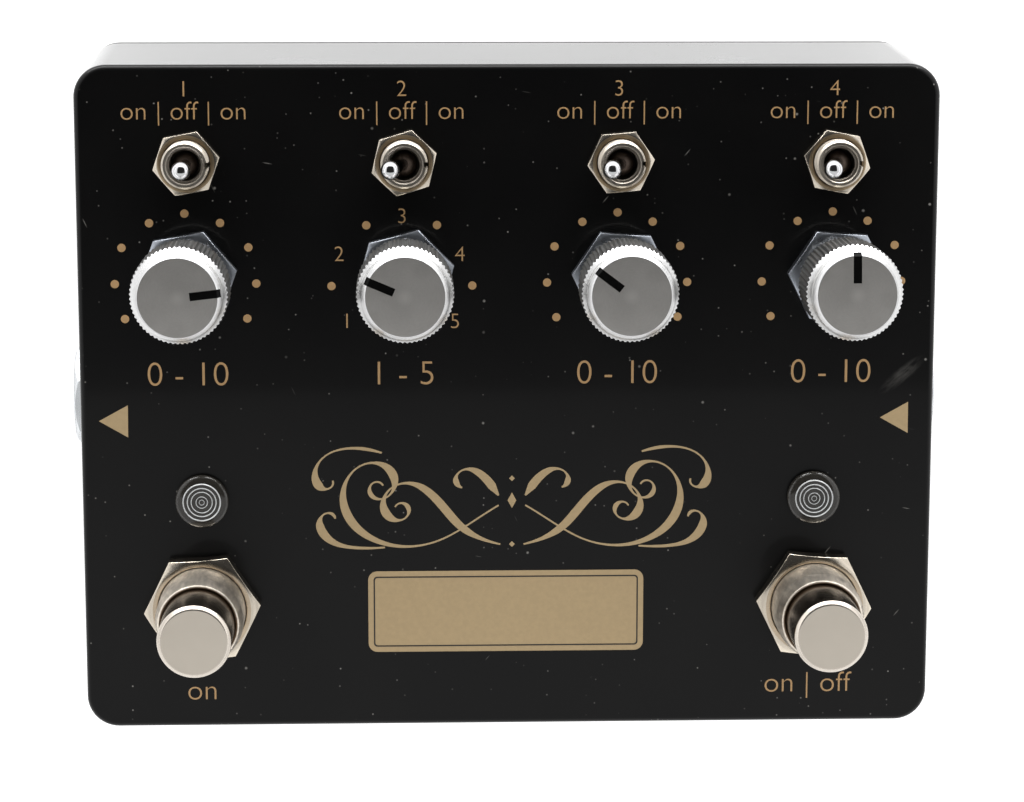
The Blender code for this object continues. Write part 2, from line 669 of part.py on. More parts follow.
def build_footswitches(body_material, nut_material, cap_material, spring_material):
    """The footswitches: block and bushing, nut, plunger, and return spring."""
    stem_foot = -PLUNGER_SHOULDER_DROP - PLUNGER_STEM_LENGTH
    spring_floor = stem_foot - PLUNGER_TRAVEL - 2 * RUNNING_GAP
    body_mesh = finished_mesh(footswitch_body_solid(spring_floor), body_material)
    nut = nut_solid(FOOTSWITCH_NUT_FLATS, FOOTSWITCH_NUT_THICKNESS, FOOTSWITCH_BUSHING_RADIUS, ROUND_SIDES)
    nut_mesh = finished_mesh(nut, nut_material)
    round_off = PLUNGER_EDGE * (1 - math.cos(math.pi / 4))
    profile = [
        (0, stem_foot),
        (PLUNGER_STEM_RADIUS, stem_foot),
        (PLUNGER_STEM_RADIUS, -PLUNGER_SHOULDER_DROP),
        (PLUNGER_RADIUS, -PLUNGER_SHOULDER_DROP),
        (PLUNGER_RADIUS, PLUNGER_RISE - PLUNGER_EDGE),
        (PLUNGER_RADIUS - round_off, PLUNGER_RISE - round_off),
        (PLUNGER_RADIUS - PLUNGER_EDGE, PLUNGER_RISE),
        (0, PLUNGER_RISE),
    ]
    cap_mesh = finished_mesh(turned(profile), cap_material)
    coil_mesh = spring_mesh(spring_material, spring_floor + RUNNING_GAP, -PLUNGER_SHOULDER_DROP - RUNNING_GAP)
    for i, (side, (x, y)) in enumerate(zip(("left", "right"), FOOTSWITCH_PLACES)):
        put(f"footswitch_body_{side}", body_mesh, (x, y, FACE_Z))
        nut_turn = (0, 0, math.radians(FOOTSWITCH_NUT_ANGLES[i]))
        put(f"footswitch_nut_{side}", nut_mesh, (x, y, FACE_Z + SEAT_GAP), nut_turn)
        put(f"footswitch_plunger_{side}", cap_mesh, (x, y, FACE_Z))
        put(f"footswitch_spring_{side}", coil_mesh, (x, y, FACE_Z))


def build_lamps(lens_material, led_material):
    """The clear lenses and the lamps inside them."""
    bore = LED_RADIUS + SEAT_GAP
    bore_top = SEAT_GAP - LED_TOP_DROP
    profile = [
        (0, bore_top),
        (bore, bore_top),
        (bore, -LENS_BARREL_DROP),
        (LENS_BARREL_RADIUS, -LENS_BARREL_DROP),
        (LENS_BARREL_RADIUS, SEAT_GAP),
        (LENS_RADIUS, SEAT_GAP),
        (LENS_RADIUS, LENS_EDGE_RISE),
        (LENS_RADIUS * math.cos(math.pi / 6), LENS_EDGE_RISE + (LENS_RISE - LENS_EDGE_RISE) / 2),
        (LENS_RADIUS / 2, LENS_RISE),
        (0, LENS_RISE),
    ]
    lens_mesh = finished_mesh(turned(profile, HOLE_SIDES), lens_material)

    collar_top = -LENS_BARREL_DROP - SEAT_GAP
    collar_foot = collar_top - LED_COLLAR_THICKNESS
    dome = -LED_TOP_DROP - LED_RADIUS
    wide = LED_COLLAR_RADIUS
    profile = [(0, collar_foot), (wide, collar_foot), (wide, collar_top), (LED_RADIUS, collar_top)]
    for degrees in (0, 40, 70):
        angle = math.radians(degrees)
        profile.append((LED_RADIUS * math.cos(angle), dome + LED_RADIUS * math.sin(angle)))
    profile.append((0, -LED_TOP_DROP))
    led = turned(profile, HIDDEN_SIDES)
    for side in (-1, 1):
        x = side * LED_LEG_SPACING / 2
        low = (x - LED_LEG_WIDTH / 2, -LED_LEG_WIDTH / 2, collar_foot - LED_LEG_LENGTH)
        high = (x + LED_LEG_WIDTH / 2, LED_LEG_WIDTH / 2, collar_foot + LED_COLLAR_THICKNESS / 2)
        led = join(led, block(low, high))
    led_mesh = finished_mesh(led, led_material)
    for side, (x, y) in zip(("left", "right"), LED_PLACES):
        put(f"lens_{side}", lens_mesh, (x, y, FACE_Z))
        put(f"led_{side}", led_mesh, (x, y, FACE_Z))


def build_jacks(body_material, nut_material):
    """The quarter-inch sockets in the end walls, with their nuts."""
    front = -WALL_THICKNESS - SEAT_GAP
    back = front - JACK_BODY_LENGTH
    half_x, half_y = JACK_BODY_HEIGHT / 2, JACK_BODY_WIDTH / 2
    body = block((-half_x, -half_y, back), (half_x, half_y, front))
    reach = SEAT_GAP + JACK_NUT_THICKNESS - JACK_THREAD_SHORT
    body = join(body, pegs([(0, 0)], JACK_BUSHING_RADIUS, front - CUT_OVERRUN, reach, ROUND_SIDES))
    floor = back + JACK_BACK_WALL
    body = cut(body, pegs([(0, 0)], JACK_BORE_RADIUS, floor, reach + CUT_OVERRUN, ROUND_SIDES))
    body_mesh = finished_mesh(body, body_material)
    nut = nut_solid(JACK_NUT_FLATS, JACK_NUT_THICKNESS, JACK_BUSHING_RADIUS, ROUND_SIDES)
    nut_mesh = finished_mesh(nut, nut_material)
    for name, side in (("left", -1), ("right", 1)):
        place = Vector(wall_place(side, JACK_BEHIND_MIDDLE, JACK_DROP))
        out = Vector((side * math.cos(WALL_ANGLE), 0, math.sin(WALL_ANGLE)))
        put(f"jack_body_{name}", body_mesh, place, wall_turn(side))
        nut_piece = put(f"jack_nut_{name}", nut_mesh, place + out * SEAT_GAP)
        spin = Matrix.Rotation(math.radians(JACK_NUT_ANGLE), 4, "Z")
        tilt = Matrix.Rotation(wall_turn(side)[1], 4, "Y")
        nut_piece.rotation_euler = (tilt @ spin).to_euler()


def build_dc_jack(body_material, nut_material):
    """The power inlet in the right end wall, with its centre pin and nut."""
    front = -WALL_THICKNESS - SEAT_GAP
    back = front - DC_BODY_LENGTH
    half = DC_BODY_WIDTH / 2
    body = block((-half, -half, back), (half, half, front))
    reach = SEAT_GAP + DC_NUT_THICKNESS
    body = join(body, pegs([(0, 0)], DC_BUSHING_RADIUS, front - CUT_OVERRUN, reach, HOLE_SIDES))
    floor = back + DC_BACK_WALL
    body = cut(body, pegs([(0, 0)], DC_BORE_RADIUS, floor, reach + CUT_OVERRUN, HOLE_SIDES))
    pin_foot = back + DC_BACK_WALL / 2
    body = join(body, pegs([(0, 0)], DC_PIN_RADIUS, pin_foot, reach - DC_PIN_SHORT, HIDDEN_SIDES))
    place = Vector(wall_place(1, DC_BEHIND_MIDDLE, DC_DROP))
    out = Vector((math.cos(WALL_ANGLE), 0, math.sin(WALL_ANGLE)))
    put("dc_jack", finished_mesh(body, body_material), place, wall_turn(1))
    nut = nut_solid(DC_NUT_FLATS, DC_NUT_THICKNESS, DC_BUSHING_RADIUS, HOLE_SIDES)
    nut_piece = put("dc_nut", finished_mesh(nut, nut_material), place + out * SEAT_GAP)
    spin = Matrix.Rotation(math.radians(DC_NUT_ANGLE), 4, "Z")
    tilt = Matrix.Rotation(wall_turn(1)[1], 4, "Y")
    nut_piece.rotation_euler = (tilt @ spin).to_euler()


def build_board(board_material, chip_material, can_material):
    """The circuit board under the controls, with a chip and a capacitor below it."""
    half_span = POT_SPREAD / 2 + POT_CAN_RADIUS + BOARD_SIDE_MARGIN
    low = (POT_SHIFT - half_span, POT_Y - POT_CAN_RADIUS - BOARD_FRONT_MARGIN, -BOARD_UNDER_DROP)
    high = (POT_SHIFT + half_span, TOGGLE_Y + BOARD_BACK_MARGIN, -BOARD_TOP_DROP)
    put("main_board", finished_mesh(block(low, high), board_material), (0, 0, FACE_Z))
    under = FACE_Z - BOARD_UNDER_DROP - SEAT_GAP
    half = CHIP_WIDTH / 2
    chip = block((-half, -half, -CHIP_HEIGHT), (half, half, 0))
    put("dsp_chip", finished_mesh(chip, chip_material), (POT_SHIFT, POT_Y, under))
    slim = CAPACITOR_RADIUS - CAPACITOR_EDGE
    profile = [
        (0, -CAPACITOR_HEIGHT),
        (slim, -CAPACITOR_HEIGHT),
        (CAPACITOR_RADIUS, CAPACITOR_EDGE - CAPACITOR_HEIGHT),
        (CAPACITOR_RADIUS, 0),
        (0, 0),
    ]
    can = finished_mesh(turned(profile, SMALL_SIDES), can_material)
    put("capacitor", can, (POT_SHIFT - CAPACITOR_BESIDE_CHIP, POT_Y, under))


POT_PLACES = row(COLUMNS, POT_PITCH, POT_SHIFT, POT_Y)
TOGGLE_PLACES = row(COLUMNS, POT_PITCH - TOGGLE_PITCH_SHORT, TOGGLE_SHIFT, TOGGLE_Y)
FOOTSWITCH_PLACES = row(2, POT_SPREAD - 2 * FOOTSWITCH_INSET, 0, FOOTSWITCH_Y)
LED_PLACES = row(2, POT_SPREAD - 2 * LED_INSET, 0, LED_Y)


def main():
    """Builds every piece in an empty scene."""
    for thing in list(bpy.data.objects):
        bpy.data.objects.remove(thing)
    black = make_material("black_powder_coat", (0.010, 0.010, 0.011), 0.35, 0.0)
    zinc = make_material("zinc_screw", (0.55, 0.55, 0.56), 0.35, 1.0)
    rubber = make_material("black_rubber", (0.02, 0.02, 0.02), 0.8, 0.0)
    aluminium = make_material("spun_aluminium", (0.66, 0.66, 0.66), 0.3, 1.0)
    steel = make_material("blue_grey_steel", (0.42, 0.45, 0.48), 0.3, 1.0)
    nickel = make_material("warm_nickel", (0.62, 0.57, 0.50), 0.3, 1.0)
    chrome = make_material("bright_chrome", (0.80, 0.80, 0.80), 0.1, 1.0)
    cap_nickel = make_material("satin_nickel_cap", (0.66, 0.62, 0.56), 0.3, 1.0)
    can_grey = make_material("pot_can", (0.40, 0.40, 0.38), 0.4, 1.0)
    shaft_grey = make_material("pot_shaft", (0.60, 0.60, 0.58), 0.3, 1.0)
    spring_steel = make_material("spring_steel", (0.45, 0.45, 0.45), 0.3, 1.0)
    clear = make_material("clear_lens", (0.85, 0.88, 0.90), 0.05, 0.0, 0.35)
    lamp = make_material("lamp_resin", (0.80, 0.80, 0.78), 0.2, 0.0)
    jack_plastic = make_material("socket_plastic", (0.03, 0.03, 0.03), 0.5, 0.0)
    jack_metal = make_material("jack_nickel", (0.70, 0.71, 0.72), 0.25, 1.0)
    black_plastic = make_material("inlet_plastic", (0.02, 0.02, 0.02), 0.45, 0.0)
    board_green = make_material("circuit_board", (0.01, 0.10, 0.04), 0.5, 0.0)
    chip_black = make_material("chip_resin", (0.02, 0.02, 0.02), 0.5, 0.0)
    can_sleeve = make_material("capacitor_sleeve", (0.03, 0.04, 0.10), 0.4, 0.0)

    build_enclosure(black)
    build_base_plate(black.copy())
    build_screws(zinc)
    build_feet(rubber)
    build_pots(can_grey, shaft_grey, steel)
    build_knobs(aluminium)
    build_toggles(nickel.copy(), nickel.copy(), chrome)
    build_footswitches(nickel.copy(), nickel, cap_nickel, spring_steel)
    build_lamps(clear, lamp)
    build_jacks(jack_plastic, jack_metal)
    build_dc_jack(black_plastic, black_plastic.copy())
    build_board(board_green, chip_black, can_sleeve)


main()
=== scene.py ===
"""Looks of the delay pedal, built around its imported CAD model.

Sizes are in metres. X runs along the box, Y runs to its back, Z is up, and the feet stand on Z = 0.
A RISE is a height above the face of the box, and a DROP is a depth below it.
"""
import math

import bmesh
import bpy
from mathutils import Matrix, Vector


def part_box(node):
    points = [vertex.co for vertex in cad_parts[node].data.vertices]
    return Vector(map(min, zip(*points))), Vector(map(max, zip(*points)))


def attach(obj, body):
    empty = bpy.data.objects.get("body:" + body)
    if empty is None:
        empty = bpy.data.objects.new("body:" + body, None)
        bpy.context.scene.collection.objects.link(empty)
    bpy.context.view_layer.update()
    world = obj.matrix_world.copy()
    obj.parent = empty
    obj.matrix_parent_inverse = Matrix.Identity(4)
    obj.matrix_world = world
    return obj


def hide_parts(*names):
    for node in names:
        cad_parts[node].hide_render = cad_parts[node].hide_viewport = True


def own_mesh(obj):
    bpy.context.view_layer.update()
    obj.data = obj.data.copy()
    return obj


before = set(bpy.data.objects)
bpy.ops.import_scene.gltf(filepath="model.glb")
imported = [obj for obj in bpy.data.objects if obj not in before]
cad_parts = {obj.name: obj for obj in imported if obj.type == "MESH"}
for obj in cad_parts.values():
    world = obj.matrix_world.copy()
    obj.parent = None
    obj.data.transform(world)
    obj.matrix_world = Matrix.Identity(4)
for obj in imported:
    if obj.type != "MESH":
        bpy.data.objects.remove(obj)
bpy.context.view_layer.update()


def middle(node):
    """The middle of a CAD node's box."""
    low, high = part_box(node)
    return (low + high) / 2


def extent(node):
    """The size of a CAD node's box."""
    low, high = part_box(node)
    return high - low


def over(node, height):
    """The point at a height, straight above or below the middle of a CAD node."""
    return Vector((*middle(node).xy, height))


# Pointer of each knob, in degrees from +X, and throw of each lever, where -1 is left and 1 is right
POINTER_ANGLES = (6.5, 157.0, 143.0, 91.0)
LEVER_STATES = (0, -1, -1, -1)

# Clearances
SEAT_GAP = 0.00025
RUNNING_GAP = 0.0003
CUT_OVERRUN = 0.001

# Cast box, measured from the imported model
FACE_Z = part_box("enclosure")[1].z
CASE_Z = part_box("enclosure")[0].z
CASE_HEIGHT = FACE_Z - CASE_Z
FOOT_HALF_X = extent("enclosure").x / 2
FOOT_HALF_Y = extent("enclosure").y / 2
CASE_LEAN = 0.00105
LEAN_PER_DEPTH = CASE_LEAN / CASE_HEIGHT
WALL_ANGLE = math.atan(LEAN_PER_DEPTH)
WALL_THICKNESS = 0.0023
FACE_THICKNESS = 0.0023
CORNER_RADIUS = 0.0044
FACE_EDGE_RADIUS = 0.0008
FACE_EDGE_STEPS = 8
BOSS_RADIUS = 0.0038
CEILING_DROP = FACE_THICKNESS + SEAT_GAP

# Base plate, its screws and the feet
LID_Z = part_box("base_plate")[0].z
LID_THICKNESS = extent("base_plate").z
LID_EDGE = 0.0003
SCREW_RADIUS = 0.0015
SCREW_HEAD_RADIUS = 0.0028
SCREW_HEAD_DEPTH = 0.0014
SCREW_HEAD_EDGE = 0.0001
SCREW_LENGTH = 0.0095
SCREW_THREAD_PITCH = 0.0006
SCREW_THREAD_INSET = 0.0002
SCREW_TIP = 0.0004
SCREW_TURN = 37
RECESS_LENGTH = 0.003
RECESS_WIDTH = 0.0007
RECESS_DEPTH = 0.0009
RECESS_TAPER = 0.0001
FOOT_RADIUS = extent("foot_1").x / 2
FOOT_HEIGHT = extent("foot_1").z
FOOT_TAPER = 0.0007
FOOT_DIMPLE_RADIUS = 0.0022
FOOT_DIMPLE_DEPTH = 0.0005
FOOT_FINE_FILLET = 0.0002
FOOT_LOW_FILLET = 0.0006
FOOT_SIDE_FILLET = 0.0008

# Rotary controls and knobs
SHAFT_RADIUS = 0.003
SHAFT_RISE = 0.0165
POT_BUSHING_RADIUS = 0.0045
KNOB_RADIUS = 0.00645
KNOB_TEETH = 64
KNOB_TOOTH_DEPTH = 0.0002
KNOB_BOTTOM_RISE = 0.0085
KNOB_FOOT_EDGE = 0.0003
KNOB_NECK_RADIUS = 0.0058
KNOB_NECK_LOW_RISE = 0.01765
KNOB_NECK_HIGH_RISE = 0.0191
KNOB_FACE_RADIUS = 0.0052
KNOB_TOP_RISE = 0.0197
KNOB_TOP_EDGE = 0.00008
KNOB_FINE_EDGE = 0.00003
KNOB_SKIRT_WALL = 0.0014
KNOB_SKIRT_DEPTH = 0.0025
POINTER_WIDTH = 0.0011
POINTER_START = 0.0016
POINTER_DEPTH = 0.0004
POINTER_SUNK = 0.00004
POINTER_GAP = 0.00001
POINTER_SHORT = 0.00014

# Toggle switches
TOGGLE_BODY_SIZE = Vector((0.013, 0.0079, 0.0106))
TOGGLE_BUSHING_RADIUS = 0.003175
TOGGLE_BUSHING_RISE = 0.0046
TOGGLE_BUSHING_EDGE = 0.00025
TOGGLE_BORE_RADIUS = 0.0021
TOGGLE_MOUTH_RADIUS = 0.00245
TOGGLE_MOUTH_DEPTH = 0.0006
TOGGLE_MOUTH_LIP = 0.00012
TOGGLE_THREAD_PITCH = 0.00045
TOGGLE_KEYWAY_WIDTH = 0.0008
TOGGLE_KEYWAY_DEPTH = 0.0005
TOGGLE_KEYWAY_START = 0.0004
LEVER_PIVOT_RISE = 0.0022
LEVER_LENGTH = 0.0093
LEVER_TIP_RADIUS = 0.00125
LEVER_STEM_RADIUS = 0.00085
LEVER_STEM_START = 0.0004
LEVER_TAIL_RADIUS = 0.0006
LEVER_TAIL_LENGTH = 0.0044
LEVER_THROW_ANGLE = 11.4

# Footswitches
FOOTSWITCH_BODY_WIDTH = 0.0168
FOOTSWITCH_BODY_HEIGHT = 0.0145
FOOTSWITCH_BUSHING_RADIUS = 0.006
FOOTSWITCH_BUSHING_RISE = 0.0112
FOOTSWITCH_SHOULDER_DROP = 0.0024
FOOTSWITCH_SHOULDER_FILLET = 0.0012
FOOTSWITCH_MOUTH_RADIUS = 0.0055
FOOTSWITCH_LIP_RADIUS = 0.00028
FOOTSWITCH_MOUTH_BEVEL = 0.00006
FOOTSWITCH_SEAL_STEP = 0.00015
FOOTSWITCH_SEAL_DROP = 0.00035
FOOTSWITCH_THREAD_PITCH = 0.00075
FOOTSWITCH_NUT_THICKNESS = 0.0028
FOOTSWITCH_LUG_SIZE = Vector((0.0022, 0.0008, 0.0045))
PLUNGER_RADIUS = 0.00495
PLUNGER_RISE = 0.0204
PLUNGER_EDGE = 0.0005
PLUNGER_EDGE_FILLET = 0.00036
PLUNGER_SEAL_GAP = 0.00012
PLUNGER_SHOULDER_DROP = 0.0002
PLUNGER_DIMPLE_RADIUS = 0.00032
PLUNGER_DIMPLE_DEPTH = 0.00012
PLUNGER_STEM_RADIUS = 0.0022
PLUNGER_STEM_LENGTH = 0.006
PLUNGER_STEM_FILLET = 0.0003
PLUNGER_SHOULDER_FILLET = 0.0001
PLUNGER_TRAVEL = 0.003
SPRING_WIRE_RADIUS = 0.0004
SPRING_TURNS = 5
SPRING_STEPS = 24
SPRING_WIRE_SIDES = 10

# Lamps
LENS_RADIUS = 0.00365
LENS_RISE = 0.0015
LENS_EDGE_RISE = 0.0009
LENS_EDGE_DOME = 0.00018
LENS_BARREL_RADIUS = 0.0031
LENS_BARREL_DROP = 0.0085
# The ridge crests carry a painted highlight. Narrower crests on the inner ridges make those painted rings
# fainter.
LENS_RIDGES = (0.00255, 0.00197, 0.00145, 0.00079, 0.00035)
LENS_RIDGE_HEIGHT = 0.00012
LENS_CREST_WIDTH = 0.00006
LENS_INNER_SHARE = 0.35
LED_RADIUS = 0.00245
LED_TOP_DROP = 0.001

# Sockets and power inlet
SOCKET_BACK_WALL = 0.0015
SOCKET_LIP = 0.0003
SOCKET_THREAD_START = 0.0003
JACK_BODY_SIZE = Vector((0.0125, 0.015, 0.0265))
JACK_BUSHING_RADIUS = 0.00476
JACK_BORE_RADIUS = 0.0033
JACK_NUT_FLATS = 0.0127
JACK_NUT_THICKNESS = 0.0014
JACK_NUT_ANGLE = 24.0
JACK_SHORT = 0.0001
JACK_THREAD_PITCH = 0.0006
DC_BODY_SIZE = Vector((0.0105, 0.0105, 0.0125))
DC_BUSHING_RADIUS = 0.0055
DC_BORE_RADIUS = 0.0029
DC_PIN_RADIUS = 0.00105
DC_PIN_SHORT = 0.001
DC_PIN_FILLET = 0.0004
DC_NUT_FLATS = 0.013
DC_NUT_THICKNESS = 0.0015
DC_THREAD_PITCH = 0.0007

# Smoothness of round work
FINE_SIDES = 96
HOLE_SIDES = 64
SMALL_SIDES = 40
MERGE_DISTANCE = 0.0000005
SHARP_ANGLE = 32.0
THREAD_LAND = 0.12
THREAD_START = 0.0006
THREAD_END = 0.0001

COLUMNS = range(1, 5)
SIDES = ("left", "right")

# Nuts. Those on the face are given by their numbers, each one's turn in degrees, width across flats,
# thickness, bushing radius, edge and slots, where a second slot, on the flat top, is a darker, browner copy
# of the nickel: painted shade.
NUT_CHAMFER_ANGLE = 30.0
NUT_LIP = 0.00008
NUT_TOP_SHARE = 0.965
WALL_NUT_EDGE = 0.00007
FACE_NUTS = {
    "pot_nut": (
        COLUMNS, (10.2, 14.8, -4.1, -4.0), 0.012, 0.002, POT_BUSHING_RADIUS, 0.00008, ("pot_nut_steel",)
    ),
    "toggle_nut": (
        COLUMNS, (10.6, 16.9, 5.0, -10.8), 0.008, 0.0019, TOGGLE_BUSHING_RADIUS, 0.00007,
        ("toggle_nut_nickel", "toggle_nut_top"),
    ),
    "footswitch_nut": (
        SIDES, (3.9, -4.2), 0.014, FOOTSWITCH_NUT_THICKNESS, FOOTSWITCH_BUSHING_RADIUS, 0.0001,
        ("footswitch_nut_nickel", "footswitch_nut_top"),
    ),
}


# Meshes

def assign(thing, **settings):
    """The thing, with its properties set."""
    for name, value in settings.items():
        setattr(thing, name, value)
    return thing


def new_object(name, mesh):
    """An object for the mesh, linked to the scene."""
    thing = bpy.data.objects.new(name, mesh)
    bpy.context.scene.collection.objects.link(thing)
    return thing


def from_bmesh(bm, name="solid"):
    """An object made from the bmesh, with its faces pointing out."""
    bmesh.ops.remove_doubles(bm, verts=bm.verts, dist=MERGE_DISTANCE)
    bmesh.ops.recalc_face_normals(bm, faces=bm.faces)
    mesh = bpy.data.meshes.new(name)
    bm.to_mesh(mesh)
    bm.free()
    return new_object(name, mesh)


def polar(radius, angle):
    """The point at a radius and an angle in radians."""
    return radius * math.cos(angle), radius * math.sin(angle)


def turns(sides):
    """The angles of points spread evenly round a circle."""
    return [math.tau * i / sides for i in range(sides)]


def circle(radius, height, sides):
    """Points of a level circle about Z."""
    return [(*polar(radius, angle), height) for angle in turns(sides)]


def rounded(corners, steps=4):
    """Profile points from (radius, height) or (radius, height, fillet) corners."""
    points = []
    for i, (across, up, *fillet) in enumerate(corners):
        if not fillet:
            points.append((across, up))
            continue
        radius, here = fillet[0], Vector((across, up))
        back, ahead = ((Vector(corners[j][:2]) - here).normalized() for j in (i - 1, i + 1))
        half = back.angle(ahead) / 2
        centre = here + (back + ahead).normalized() * radius / math.sin(half)
        first, last = (here + way * radius / math.tan(half) - centre for way in (back, ahead))
        start = math.atan2(first.y, first.x)
        sweep = (math.atan2(last.y, last.x) - start + math.pi) % math.tau - math.pi
        for k in range(steps + 1):
            x, y = polar(radius, start + sweep * k / steps)
            points.append((centre.x + x, centre.y + y))
    return points


def threaded(radius, low, high, pitch):
    """Profile points of a screw thread that climbs from low to high, with its ends at its outer radius."""
    count = max(1, round((high - low) / pitch))
    step = (high - low) / count
    shape = ((THREAD_LAND, 0), (0.5, pitch / 2), (1 - THREAD_LAND, 0))
    return [(radius - depth, low + i * step + step * share) for i in range(count) for share, depth in shape]


def turned(profile, sides=HOLE_SIDES):
    """A solid of revolution about Z, from (radius, height) points that start and end on the axis."""
    bm = bmesh.new()
    verts = [bm.verts.new((radius, 0, height)) for radius, height in profile]
    edges = [bm.edges.new(pair) for pair in zip(verts, verts[1:])]
    bmesh.ops.spin(
        bm, geom=verts + edges, cent=(0, 0, 0), axis=(0, 0, 1), angle=math.tau, steps=sides, use_merge=True
    )
    return from_bmesh(bm)


def skin(bm, rings, closed=False):
    """Skins rings of equal length in the bmesh, closed into a loop or by a flat face at each end."""
    loops = [[bm.verts.new(point) for point in ring] for ring in rings]
    pairs = list(zip(loops, loops[1:]))
    if closed:
        pairs.append((loops[-1], loops[0]))
    for lower, upper in pairs:
        for i in range(len(lower)):
            j = (i + 1) % len(lower)
            bm.faces.new((lower[i], lower[j], upper[j], upper[i]))
    if not closed:
        bm.faces.new(loops[0])
        bm.faces.new(loops[-1])


def lofted(rings, closed=False):
    """A solid skinned over rings."""
    bm = bmesh.new()
    skin(bm, rings, closed)
    return from_bmesh(bm)


def rectangle(half_x, half_y, height, x=0, y=0):
    """A rectangle's corners at a height, about a place."""
    return [(x + i * half_x, y + j * half_y, height) for i, j in ((-1, -1), (1, -1), (1, 1), (-1, 1))]


def block(low, high):
    """A box between two corners."""
    (x, y, bottom), (far_x, far_y, top) = low, high
    return lofted([[(x, y, z), (far_x, y, z), (far_x, far_y, z), (x, far_y, z)] for z in (bottom, top)])


def pegs(places, radius, low, high, sides=HOLE_SIDES):
    """Upright cylinders at the places, in one object."""
    bm = bmesh.new()
    sizes = {"segments": sides, "radius1": radius, "radius2": radius, "depth": high - low}
    for x, y in places:
        spot = Matrix.Translation((x, y, (low + high) / 2))
        bmesh.ops.create_cone(bm, cap_ends=True, matrix=spot, **sizes)
    return from_bmesh(bm)


def combine(body, tools, operation):
    """The body after one Boolean with each of the tools, which are removed."""
    for tool in tools:
        assign(body.modifiers.new("Boolean", "BOOLEAN"), operation=operation, solver="EXACT", object=tool)
        bpy.context.view_layer.update()
        graph = bpy.context.evaluated_depsgraph_get()
        mesh = bpy.data.meshes.new_from_object(body.evaluated_get(graph))
        used = (body.data, tool.data)
        body.modifiers.clear()
        body.data = mesh
        bpy.data.objects.remove(tool)
        for data in used:
            bpy.data.meshes.remove(data)
    return body


def cut(body, *tools):
    """The body with the shapes of the tools taken out."""
    return combine(body, tools, "DIFFERENCE")


def join(body, *tools):
    """The body and the tools as one solid."""
    return combine(body, tools, "UNION")


def finished(body, *slots, pick=None):
    """The body's mesh with its shading and the materials of its slots, without the object.

    Pick numbers each face's slot from its distance to the Z axis, its height and how far it faces up.
    """
    mesh = body.data
    bpy.data.objects.remove(body)
    mesh.materials.clear()
    for slot in slots:
        mesh.materials.append(MATERIALS[slot])
    mesh.shade_smooth()
    mesh.set_sharp_from_angle(angle=math.radians(SHARP_ANGLE))
    if pick:
        for face in mesh.polygons:
            face.material_index = int(pick(math.hypot(*face.center.xy), face.center.z, face.normal.z))
    return mesh


def put(name, mesh, place=(0, 0, 0), turn=None, instead=(), edge=0, body="box"):
    """A named piece at its place, riding on a body, with its edges rounded by the given width."""
    thing = new_object(name, mesh)
    thing.matrix_world = Matrix.Translation(place) @ (turn or Matrix.Identity(4))
    if edge:
        bevel = assign(thing.modifiers.new("Edges", "BEVEL"), width=edge, segments=2, use_clamp_overlap=True)
        assign(bevel, limit_method="ANGLE", angle_limit=math.radians(SHARP_ANGLE))
    thing.modifiers.new("Normals", "WEIGHTED_NORMAL").keep_sharp = True
    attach(thing, body)
    if instead:
        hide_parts(*instead)
    return thing


def redo(part, ending, mesh, place, turn=None, edge=0, body="box"):
    """A piece in the place of the CAD node that its name begins with, which is hidden."""
    return put(f"{part}_{ending}", mesh, place, turn, [part], edge, body)


def spin(degrees):
    """A turn about Z."""
    return Matrix.Rotation(math.radians(degrees), 4, "Z")


def out_of_wall(side):
    """A turn that points Z out of an end wall, square to its lean."""
    return Matrix.Rotation(side * (math.pi / 2 - WALL_ANGLE), 4, "Y")


# Materials

MIX_FIRST, MIX_SECOND, MIX_RESULT = 6, 7, 2
FIBRE_ANGLES = (25, 80, 140)
SMEAR_ANGLE = 40
SMEAR_SIZE = (0.0042, 0.0011, 0.004)
SMEAR_PLACE = (0.0543, 0.0033, FACE_Z)


def linear(*levels):
    """A linear colour from the 0 to 255 values that a picture shows."""
    return tuple(((value / 255 + 0.055) / 1.055) ** 2.4 for value in levels)


def scaled(tone, factor, lift=0.0):
    """A colour made darker or lighter by a factor, and then lifted."""
    return tuple(min(1.0, value * factor + lift) for value in tone)


def shader(name, colour, roughness, metallic=0.0, **sockets):
    """A Principled material, its node tree and its shader, with constants on the shader's own sockets."""
    material = bpy.data.materials.new(name)
    material.use_nodes = True
    tree = material.node_tree
    principled = tree.nodes["Principled BSDF"]
    values = {"Base Color": (*colour, 1.0), "Roughness": roughness, "Metallic": metallic, **sockets}
    for socket, value in values.items():
        principled.inputs[socket.replace("_", " ")].default_value = value
    material.diffuse_color = (*colour, 1.0)
    return material, tree, principled


def node(tree, kind, output, inputs, **settings):
    """An output of a new shader node, whose inputs are linked or set to plain values."""
    made = assign(tree.nodes.new(f"ShaderNode{kind}"), **settings)
    for socket, value in inputs.items():
        if isinstance(value, bpy.types.NodeSocket):
            tree.links.new(value, made.inputs[socket])
        else:
            made.inputs[socket].default_value = value
    return made.outputs[output]


def own_space(tree):
    """The piece's own coordinates, in metres."""
    return node(tree, "TexCoord", "Object", {})


def stretched(tree, factors):
    """The piece's own coordinates, multiplied along each axis."""
    return node(tree, "Mapping", "Vector", {"Vector": own_space(tree), "Scale": factors})


def slanted(tree, degrees, sizes, place=(0, 0, 0)):
    """Coordinates about a place, turned in the level plane and measured in the given sizes."""
    inputs = {"Location": place, "Rotation": (0, 0, math.radians(degrees)), "Scale": sizes}
    return node(tree, "Mapping", "Vector", {"Vector": own_space(tree), **inputs}, vector_type="TEXTURE")


def length(tree, vector):
    """The length of a vector."""
    return node(tree, "VectorMath", "Value", {0: vector}, operation="LENGTH")


def noise(tree, scale, detail=3.0, source=None, roughness=0.5):
    """Smooth noise with about scale features in a metre."""
    inputs = {"Vector": source or own_space(tree), "Scale": scale, "Detail": detail, "Roughness": roughness}
    return node(tree, "TexNoise", "Fac", inputs)


